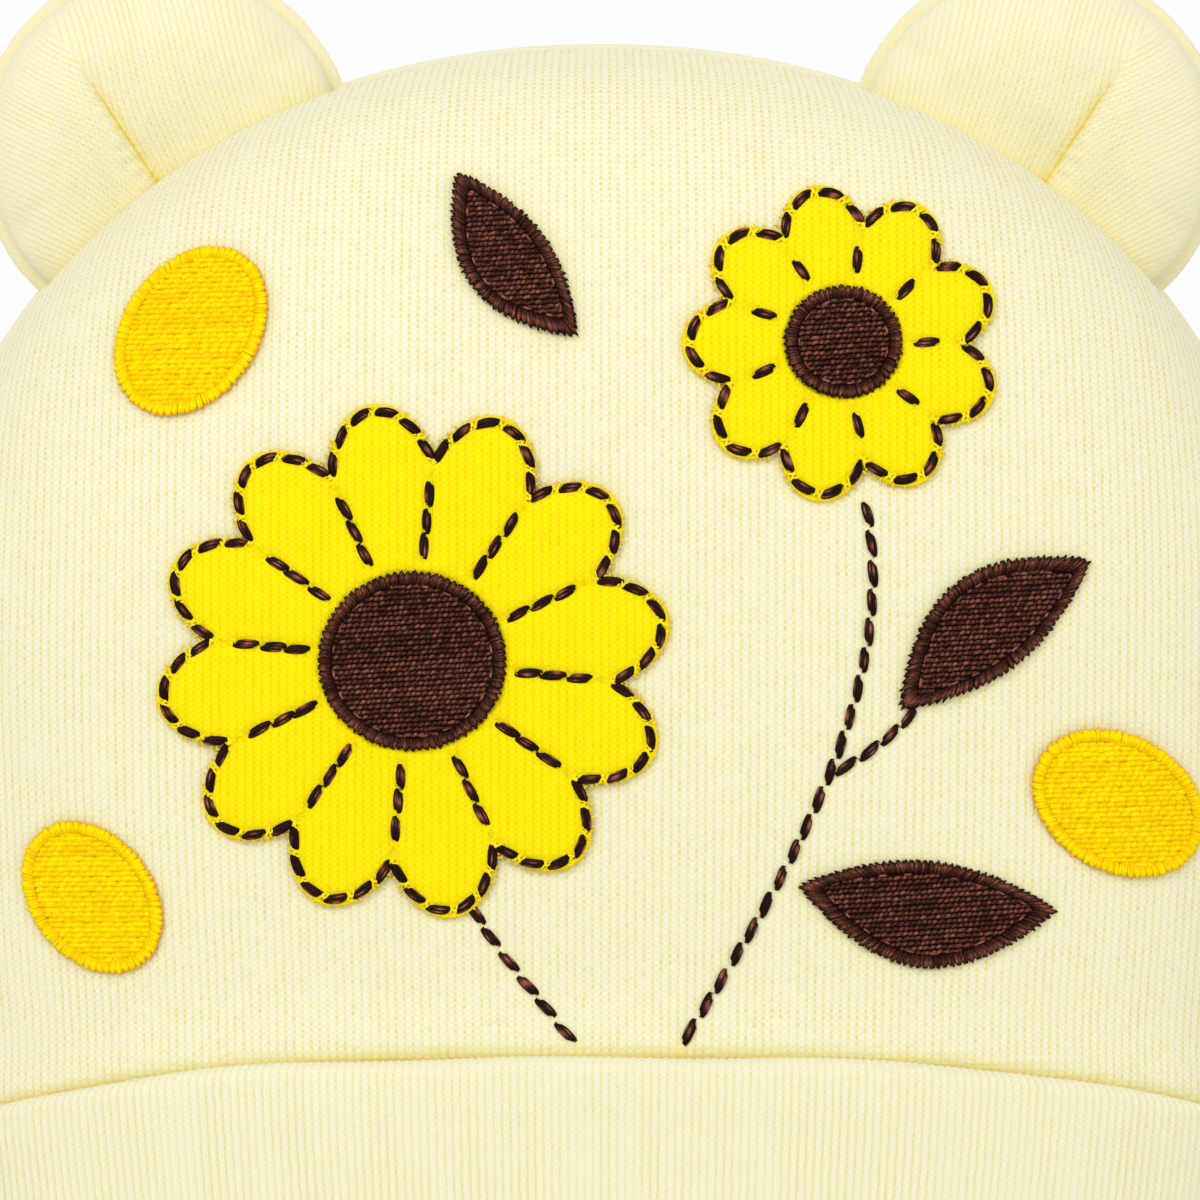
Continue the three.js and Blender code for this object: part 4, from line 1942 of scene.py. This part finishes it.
@dataclass(frozen=True)
class RunningStitch:
    """Thick stitches in a row, each of fine strands that bulge and dive at the ends."""

    pitch: float = 3.3 * MM
    length: float = 2.62 * MM
    spread: float = 0.17 * MM
    thickness: float = 0.15 * MM
    twist: float = 1.4
    bulge: float = 0.36 * MM
    tone: float = 0.05
    strands: int = 6
    slide: float = 0.1 * MM
    jitter: float = 0.05 * MM
    length_jitter: float = 0.09 * MM
    aside_jitter: float = 0.02 * MM
    samples: int = 12

    def gaps(self, line: Line, repeats: int = 1) -> np.ndarray:
        """Lengths along a line at which a new stitch begins.

        Args:
            line: Where the stitches go.
            repeats: Equal parts of the line, each with a corner half way that falls in a gap.

        Returns:
            The lengths.
        """
        each = max(1, round(line.length() / repeats / self.pitch))
        count = each * repeats
        ahead = 0.5 if repeats > 1 and each % 2 else 0
        return (np.arange(count) + ahead) * line.length() / count

    def lay(
        self, line: Line, lift: float, random: np.random.Generator, repeats: int = 1
    ) -> Threads:
        """Places stitches along a line.

        Args:
            line: Where they go.
            lift: Height of the stitch's foot over the crown.
            random: Source of small differences.
            repeats: Equal parts of the line.

        Returns:
            The strands.
        """
        starts = self.gaps(line, repeats)
        count = len(starts)
        pitch = line.length() / count
        t = np.linspace(0, 1, self.samples)
        begin = starts + (pitch - self.length) / 2
        begin = begin + random.normal(0, self.jitter, count)
        long = self.length + random.normal(0, self.length_jitter, count)
        each = (count, self.strands, 1)
        rank = (np.arange(self.strands) - (self.strands - 1) / 2)[None, :, None]
        marks = (begin[:, None] + long[:, None] * t)[:, None, :] + 0 * rank
        marks = marks + (rank * self.slide + random.normal(0, self.jitter, each))
        fat = np.sin(math.pi * t) ** 0.26
        twist = rank + self.twist * (t - 0.5)
        aside = twist * self.spread * fat + random.normal(0, self.aside_jitter, each)
        spots = line.at(marks) + line.beside(marks) * aside[..., None]
        dome = 1 - (twist / (self.strands / 2)) ** 2 * 0.55
        high = lift + self.bulge * fat * dome
        wide = self.thickness * rounded(self.samples, 0.1)
        tone = self.tone + random.random(each) * 0.2
        # Painted highlight: a few strands of each stitch carry a light streak.
        lit = random.random(each)
        lit = np.where(lit < 0.4, 1 - lit, 0.15 * lit)
        middle = random.uniform(0.25, 0.6, (count, 1, 1))
        tone = tone + 0.8 * lit * bell(t - middle, 0.22)
        full = (np.broadcast_to(value, marks.shape) for value in (high, wide, tone))
        rows = (value.reshape(-1, self.samples) for value in full)
        return Threads(spots.reshape(-1, self.samples, 2), *rows)


@dataclass(frozen=True)
class Zigzag:
    """Thin thread that holds an appliqué's edge and shows between the running stitches."""

    reach: float = 0.58 * MM
    thickness: float = 0.17 * MM
    leans: tuple[float, ...] = (0.42 * MM, -0.42 * MM, 0.3 * MM)
    shifts: tuple[float, ...] = (-0.16 * MM, 0.1 * MM, 0.42 * MM)
    lean_jitter: float = 0.06 * MM
    arch: float = 0.1 * MM
    picot_pitch: float = 0.8 * MM
    picot_lean: tuple[float, float] = (0.2 * MM, 0.12 * MM)
    picot_jitter: float = 0.08 * MM
    picot_foot: float = 0.06 * MM
    picot_height: float = 0.62 * MM
    edge: float = 0.9 * MM
    samples: int = 8

    def lay(
        self, line: Line, gaps: np.ndarray, lift: float, random: np.random.Generator
    ) -> Threads:
        """Places crossed threads at each gap of a row of stitches.

        Args:
            line: The row's line.
            gaps: Lengths along it at which the gaps lie.
            lift: Height over the crown.
            random: Source of small differences.

        Returns:
            The threads.
        """
        count = len(gaps)
        t = np.linspace(-1, 1, self.samples)
        middle = np.repeat(gaps, len(self.leans))
        lean = np.tile(self.leans, count) + random.normal(0, self.lean_jitter, len(middle))
        shift = np.tile(self.shifts, count)
        marks = middle[:, None] + shift[:, None] + lean[:, None] * t
        spots = line.at(marks) + line.beside(marks) * (t * self.reach)[:, None]
        high = lift + self.arch * (1 - t**2)[None, :] + 0 * marks
        wide = self.thickness * rounded(self.samples, 0.2)[None, :] + 0 * marks
        tone = 0.5 + 0.4 * random.random((len(middle), 1)) + 0 * marks
        return Threads(spots, high, wide, tone)

    def picots(self, line: Line, random: np.random.Generator) -> Threads:
        """Places the short ends that reach over the cut edge into the knit.

        Args:
            line: The row's line, inside the cut edge.
            random: Source of small differences.

        Returns:
            The threads.
        """
        count = round(line.length() / self.picot_pitch)
        t = np.linspace(0, 1, self.samples)
        marks = (np.arange(count) + random.normal(0, 0.15, count))[:, None] * line.length() / count
        lean = random.normal(*self.picot_lean, (count, 1))
        long = 0.68 * self.edge + random.normal(0, self.picot_jitter, (count, 1))
        out = 0.4 * self.edge + long * t
        spots = line.at(marks + lean * t) - line.beside(marks + 0 * t) * out[..., None]
        high = self.picot_foot + self.picot_height * np.sqrt(1 - t**2) + 0 * out
        wide = 0.8 * self.thickness * rounded(self.samples, 0.2) + 0 * out
        return Threads(spots, high, wide, 0.1 + 0.6 * random.random((count, 1)) + 0 * out)


@dataclass(frozen=True)
class Satin:
    """A raised border of close threads that run from an inner line to the outline."""

    width: float = 1.5
    pitch: float = 0.26 * MM
    thickness: float = 0.17 * MM
    height: float = 0.45 * MM
    tone: float = 0.2
    ragged: float = 0.04 * MM
    teeth: int = 3
    gather: float = 0.32
    lean: float = 0.45
    samples: int = 10

    def lay(self, motif: Motif, lift: float, random: np.random.Generator) -> Threads:
        """Places the border's threads.

        Args:
            motif: The shape.
            lift: Height over the crown.
            random: Source of small differences.

        Returns:
            The threads.
        """
        outer, inner = motif.line(0.0), motif.line(self.width)
        count = round(outer.length() / self.pitch / self.teeth) * self.teeth
        index = np.arange(count)
        group = np.cumsum(random.random(count) < 0.2)
        lean = random.normal(0.4, self.lean, count + 1)[group] + random.normal(0, 0.15, count)
        slot = index % self.teeth - (self.teeth - 1) / 2
        step = outer.length() / count
        base = (index + random.normal(0, 0.08, count)) * step
        begin = self.place(outer, self.share_at(outer, base - self.gather * slot * step))
        end = self.place(inner, self.share_at(outer, base + lean * step))
        t = np.linspace(0, 1, self.samples)[None, :, None]
        over = random.normal(0, 0.05, (count, 1, 1)) + (0.08 - 0.07 * np.abs(slot))[:, None, None]
        spots = begin[:, None] + (end - begin)[:, None] * (t * (1 + over) - over)
        t = t[..., 0]
        high = lift + self.height * (np.sin(math.pi * (0.02 + 0.96 * t)) ** 0.55 - 0.25)
        high = high + random.normal(0, self.ragged, (count, 1))
        high = high + random.normal(0, self.ragged, count + 1)[group][:, None]
        wide = self.thickness * (0.7 + 0.3 * smooth(t / 0.25))
        wide = wide * rounded(self.samples, 0.1)[None, :] + 0 * high
        # Painted highlight across each thread's middle, and painted shade at its ends where it
        # dives into the cloth.
        shine = bell(t - 0.42, 0.2) * (0.2 + 0.8 * random.random((count, 1)))
        tone = self.tone + 0.25 * random.random((count, 1)) + 0.45 * shine
        tone = tone - 0.35 * bell(t, 0.16) - 0.15 * bell(1 - t, 0.12)
        return Threads(spots, high, wide, tone)

    @staticmethod
    def share_at(line: Line, lengths: np.ndarray) -> np.ndarray:
        """Fractional numbers along a closed line's own points, at lengths along it."""
        marks = line.marks()
        return np.interp(lengths % marks[-1], marks, np.arange(len(marks)))

    @staticmethod
    def place(line: Line, share: np.ndarray) -> np.ndarray:
        """Places along a closed line's own points.

        Args:
            line: The line.
            share: Fractional numbers of its points.

        Returns:
            The place at each number.
        """
        count = len(line.places)
        whole = np.arange(count + 1)
        return np.stack(
            [np.interp(share % count, whole, line.round()[:, k]) for k in (0, 1)], axis=-1
        )


@dataclass(frozen=True)
class Rows:
    """A fill of threads in rows, each a string of slanting stitches like a rope."""

    thickness: float = 0.22 * MM
    nip: float = 0.12
    sway: float = 0.1 * MM
    tone: float = 0.26
    shine: float = 0.5
    inset: float = 1.5
    base: float = 0.2 * MM
    pitch: float = 0.57 * MM
    slant: float = 0.06
    bump: float = 0.66 * MM
    drift: float = 0.05 * MM
    dome: float = 0.1 * MM
    samples: int = 200

    def lay(self, motif: Motif, lift: float, random: np.random.Generator) -> Threads:
        """Places the rows inside a motif.

        Args:
            motif: The shape.
            lift: Height over the crown.
            random: Source of small differences.

        Returns:
            The threads.
        """
        c, s = math.cos(self.slant), math.sin(self.slant)
        turn = np.array([[c, s], [-s, c]])
        line = motif.line(self.inset).round() @ turn.T
        rows = np.arange(line[:, 1].min() + self.pitch * 0.5, line[:, 1].max(), self.pitch)
        spans = []
        for row in rows:
            first, second = line[:-1], line[1:]
            crossing = (first[:, 1] - row) * (second[:, 1] - row) < 0
            a, b = first[crossing], second[crossing]
            hits = a[:, 0] + (row - a[:, 1]) / (b[:, 1] - a[:, 1]) * (b[:, 0] - a[:, 0])
            spans.append((hits.min(), hits.max()))
        low, high = np.array(spans).T[:, :, None]
        t = np.linspace(0, 1, self.samples)[None, :]
        across = low + (high - low) * t
        wander = uneven(random, *across.shape)
        turns = across / self.bump + random.random((len(rows), 1)) + 0.45 * wander
        number = np.floor(turns).astype(int)
        part = turns - number
        saw = np.where(part < 0.7, part / 0.7, (1 - part) / 0.3) * 2 - 1
        full = np.sin(math.pi * part)
        up = rows[:, None] + self.sway * saw + self.drift * uneven(random, *across.shape)
        spots = np.stack([across, up], axis=-1) @ turn
        wide = self.thickness * (1 - self.nip * (1 - full)) * rounded(self.samples, 0.03)
        own = random.random((len(rows), 1)) * 0.12
        # Painted highlight: a glint in the middle of each slanting stitch.
        glint = random.uniform(0.2, 1, (len(rows), np.ptp(number) + 1))
        glint = np.take_along_axis(glint, number - number.min(), axis=1)
        tone = self.tone + own + self.shine * glint * bell(part - 0.45, 0.34)
        return Threads(spots, lift + self.dome * full**0.6, wide, tone)


@dataclass
class Pad:
    """A flat sewn shape: the jersey of an appliqué, or the ground of an embroidery."""

    shape: CrownShape
    motif: Motif
    foot: float
    top: float
    edge: float = 0.5 * MM
    ripple: float = 0.05 * MM
    ripple_size: float = 11 * MM
    # How wide the painted shade along the cut edge is.
    crease_shade: float = 0.2 * MM
    segments: int = 480
    rings: int = 120

    def build(self, name: str, pulls: np.ndarray, inset: float = 0.0) -> bpy.types.Object:
        """Models the shape from a ball that is flattened to its outline.

        Args:
            name: The piece's name.
            pulls: Places where stitches pull it in.
            inset: How far inside the outline it ends, in millimetres.

        Returns:
            The mesh.
        """
        piece = start(Form.BALL, name, self.segments, self.rings)
        ball = places_of(piece)
        polar = np.arccos(np.clip(ball[:, 2], -1, 1)) / (math.pi / 2)
        share = np.arctan2(ball[:, 1], ball[:, 0]) / (2 * math.pi) % 1
        upper = polar <= 1 + 1e-6
        reach = 1 - (1 - np.where(upper, polar, 2 - polar)) ** 1.35
        line = self.motif.line(inset)
        rim = Satin.place(line, share * len(line.places))
        ray = rim - self.motif.middle()
        places = self.motif.middle() + ray * reach[:, None]
        inward = np.linalg.norm(ray, axis=1) * (1 - reach)
        near = np.clip(inward / self.edge, 0, 1)
        rise = np.sqrt(1 - (1 - near) ** 2)
        lift = self.foot + (self.top - self.foot) * (0.35 + 0.65 * rise)
        lift = lift + self.ripple * waves(*places.T, self.ripple_size, 21) * rise
        if len(pulls):
            near = nearest(places, pulls) / MM
            dip = 0.4 * bell(near, 0.75) + 0.3 * np.exp(-near / 1.6)
            lift = lift + (0.25 - dip) * MM * rise
        lift = np.where(upper, lift, self.foot)
        move_to(piece, self.shape.front_points(places, lift))
        set_cloth(piece, places[:, 0] / JERSEY_GAUGE.wale, places[:, 1] / JERSEY_GAUGE.course)
        # Tone 0 gives an embroidery's ground its thread's darkest colour: painted shade between the
        # rows.
        set_tone(piece, TONE_AND_PAINTED_LIGHT, np.zeros(len(ball)))
        # Painted shade along the pad's cut edge.
        set_tone(piece, CREASE_SHADE, 0.5 * np.exp(-inward / self.crease_shade))
        join_edges(piece, merge=False)
        return piece


@dataclass(frozen=True)
class Embroidery:
    """One colour of thread, with the way that it is sewn."""

    material: bpy.types.Material
    slot: str
    rows: Rows
    satin: Satin
    groove: RunningStitch | None = None

    @classmethod
    def dark(cls) -> "Embroidery":
        """Brown: thin threads that stand apart.

        Returns:
            The embroidery.
        """
        groove = RunningStitch(
            pitch=2.7 * MM,
            length=0.9 * MM,
            spread=0,
            thickness=0.14 * MM,
            twist=0,
            bulge=0.1 * MM,
            tone=0.6,
            strands=1,
        )
        satin = Satin(ragged=0.07 * MM)
        return cls(BROWN.material(), "embroidery_brown", Rows(), satin, groove)

    @classmethod
    def bright(cls) -> "Embroidery":
        """Amber: full threads that lie close.

        Returns:
            The embroidery.
        """
        rows = Rows(
            thickness=0.38 * MM,
            nip=0.04,
            sway=0.06 * MM,
            tone=0.6,
            shine=0.3,
            inset=1.2,
            base=0.08 * MM,
            slant=0.02,
            bump=1.1 * MM,
        )
        satin = Satin(thickness=0.21 * MM, tone=0.55, gather=0.3, lean=0.2)
        return cls(AMBER.material(), "embroidery_amber", rows, satin)


@dataclass
class Spray:
    """The sunflowers with their leaves, buds and stems, and their heights over the crown."""

    shape: CrownShape
    jersey: bpy.types.Material
    brown: Embroidery
    amber: Embroidery
    gold: bpy.types.Material
    seam: float = 0.9
    ground: float = 0.06 * MM
    stem: float = -0.02 * MM
    jersey_foot: float = 0.02 * MM
    jersey_top: float = 0.9 * MM
    outline: float = 0.54 * MM
    separator: float = 0.5 * MM
    edging: float = 0.58 * MM
    centre: float = 0.76 * MM
    ground_below: float = 0.3 * MM
    ground_above: float = 0.2 * MM
    groove_above: float = 0.25 * MM
    groove_inset: float = 0.12
    pull_pitch: float = 0.3 * MM

    def pulls(self) -> np.ndarray:
        """Places where the knit is pulled in: outlines and stems."""
        lines = [m.line(0.0, 360) for m in (*SUNFLOWERS, *LEAVES, *BUDS)] + list(STEMS)
        return np.vstack([line.places for line in lines])

    def build(self) -> None:
        """Models the whole spray."""
        random = np.random.default_rng(8)
        stitch = RunningStitch()
        for flower, centre in zip(SUNFLOWERS, CENTRES):
            self.flower(flower, centre, stitch, random)
        for leaf in LEAVES:
            self.embroidery(leaf, self.ground, self.brown, random)
        for bud in BUDS:
            self.embroidery(bud, self.ground, self.amber, random)
        stems = Threads.all_of([stitch.lay(stem, self.stem, random) for stem in STEMS])
        piece = stems.build(self.shape, "stem_stitches", 8)
        finish_piece(piece, self.brown.material)

    def flower(
        self, flower: Sunflower, centre: Oval, stitch: RunningStitch, random: np.random.Generator
    ) -> None:
        """Models one flower: jersey, its stitches and its centre.

        Args:
            flower: The petals.
            centre: The embroidered middle.
            stitch: The running stitch round and between the petals.
            random: Source of small differences.
        """
        seam = flower.line(self.seam, 960)
        separators = flower.separators(centre.half_x + 1.0)
        lines = [seam, *separators]
        under = [centre.line(inset, 90) for inset in np.arange(0.6, centre.half_z, 0.7)]
        marks = [line.at(np.arange(0, line.length(), self.pull_pitch)) for line in lines]
        pulls = np.vstack([*marks, *(line.places for line in under)])
        jersey = Pad(self.shape, flower, self.jersey_foot, self.jersey_top, rings=150)
        piece = jersey.build(f"{flower.node}_jersey", pulls)
        finish_piece(piece, self.jersey, [flower.node])
        outline = stitch.lay(seam, self.outline, random, flower.petals)
        inner = [stitch.lay(line, self.separator, random) for line in separators]
        piece = Threads.all_of([outline, *inner]).build(self.shape, f"{flower.node}_stitches", 8)
        finish_piece(piece, self.brown.material)
        zigzag = Zigzag()
        edging = zigzag.lay(seam, stitch.gaps(seam, flower.petals), self.edging, random)
        edging = Threads.all_of([edging, zigzag.picots(seam, random)])
        piece = edging.build(self.shape, f"{flower.node}_edging")
        finish_piece(piece, self.gold)
        self.embroidery(centre, self.centre, self.brown, random)

    def embroidery(
        self, motif: Motif, foot: float, way: Embroidery, random: np.random.Generator
    ) -> None:
        """Models one embroidered shape: ground, fill, border and the thread between them.

        Args:
            motif: The shape.
            foot: Height of its ground over the crown.
            way: Thread and stitches.
            random: Source of small differences.
        """
        low, top = foot - self.ground_below, foot + self.ground_above
        ground = Pad(self.shape, motif, low, top, segments=120, rings=24)
        parts = [
            ground.build(f"{motif.node}_threads", np.zeros((0, 2)), 0.25),
            way.rows.lay(motif, foot + way.rows.base, random).build(self.shape, "rows"),
            way.satin.lay(motif, top, random).build(self.shape, "border"),
        ]
        if way.groove:
            line = motif.line(way.satin.width + self.groove_inset)
            groove = way.groove.lay(line, foot + self.groove_above, random)
            parts.append(groove.build(self.shape, "groove"))
        pick(*parts)
        bpy.ops.object.join()
        finish_piece(parts[0], way.material, [motif.node])


# Stage


LIGHTS_AIM_Z = 90 * MM


@dataclass
class Studio:
    """Floor, soft light and the camera."""

    frame_pixels: float = 1200
    pixel: float = 0.115 * MM
    middle_x: float = 601
    camera_distance: float = 1.1
    camera_z: float = 90.83 * MM
    sensor: float = 36.0

    def build(self) -> None:
        """Sets up the stage."""
        self.camera()
        self.floor()
        self.world()
        self.softbox("key", (-0.4, -1.0, 0.72), size=0.8, power=6.8)
        self.softbox("fill", (0.8, -0.8, 0.35), size=0.9, power=2.4)
        bpy.context.scene.view_settings.view_transform = "Standard"
        bpy.context.scene.view_settings.look = "None"

    def camera(self) -> None:
        """A long lens level with the middle of the crown."""
        data = bpy.data.cameras.new("camera")
        data.sensor_width = self.sensor
        data.lens = self.sensor * self.camera_distance / (self.frame_pixels * self.pixel)
        camera = bpy.data.objects.new("camera", data)
        across = (self.frame_pixels / 2 - self.middle_x) * self.pixel
        camera.location = (across, -self.camera_distance, self.camera_z)
        camera.rotation_euler = (math.pi / 2, 0, 0)
        bpy.context.collection.objects.link(camera)
        bpy.context.scene.camera = camera

    def floor(self) -> None:
        """A plain pale floor."""
        bpy.ops.object.select_all(action="DESELECT")
        bpy.ops.mesh.primitive_plane_add(size=6)
        floor = bpy.context.object
        floor.name = "floor"
        s = Shader("floor_white")
        tone = s.noise(s.spot(), 3.0)
        pale = s.blend(tone, shade(246, 246, 246), shade(250, 250, 250))
        floor.data.materials.append(s.dress(Base_Color=pale, Roughness=0.8))

    def world(self) -> None:
        """White light from behind the cap, as off a studio wall, and softer light elsewhere."""
        world = bpy.data.worlds.new("studio")
        world.use_nodes = True
        nodes, links = world.node_tree.nodes, world.node_tree.links
        ground = nodes["Background"]
        ground.inputs["Color"].default_value = (1, 1, 1, 1)
        way = nodes.new("ShaderNodeTexCoord")
        parts = nodes.new("ShaderNodeSeparateXYZ")
        share = nodes.new("ShaderNodeMapRange")
        share.interpolation_type = "SMOOTHSTEP"
        limits = {"From Min": 0.1, "From Max": 0.8, "To Min": 0.79, "To Max": 0.98}
        for name, value in limits.items():
            share.inputs[name].default_value = value
        links.new(way.outputs["Generated"], parts.inputs[0])
        links.new(parts.outputs["Y"], share.inputs["Value"])
        links.new(share.outputs["Result"], ground.inputs["Strength"])
        bpy.context.scene.world = world

    @staticmethod
    def softbox(name: str, place: tuple[float, float, float], size: float, power: float) -> None:
        """Adds a square light that faces the cap.

        Args:
            name: The light's name.
            place: Where it stands.
            size: Its side.
            power: Its power in watts.
        """
        data = bpy.data.lights.new(name, "AREA")
        data.size, data.energy = size, power
        light = bpy.data.objects.new(name, data)
        light.location = place
        aim = Vector((0, 0, LIGHTS_AIM_Z)) - Vector(place)
        light.rotation_euler = aim.to_track_quat("-Z", "Y").to_euler()
        bpy.context.collection.objects.link(light)


def main() -> None:
    """Builds the cap and its stage."""
    logging.basicConfig(level=logging.INFO, format="%(asctime)s %(name)s %(message)s")
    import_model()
    shape = CrownShape.from_frame()
    Studio().build()
    knit = KNIT.material()
    jersey, brown, amber = JERSEY.material(), Embroidery.dark(), Embroidery.bright()
    spray = Spray(shape, jersey, brown, amber, GOLD.material())
    pulls = spray.pulls()
    CrownPanel(shape, -1).build(pulls, knit)
    CrownPanel(shape, 1, columns=150, side_rows=50, dome_rows=60).build(pulls, knit)
    SeamLip(shape).build(knit)
    Cuff(shape).build(CUFF_KNIT.material())
    ear_knit = EAR_KNIT.material()
    for side in (-1, 1):
        Ear(shape, side).build(ear_knit)
    spray.build()
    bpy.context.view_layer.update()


if __name__ == "__main__":
    main()
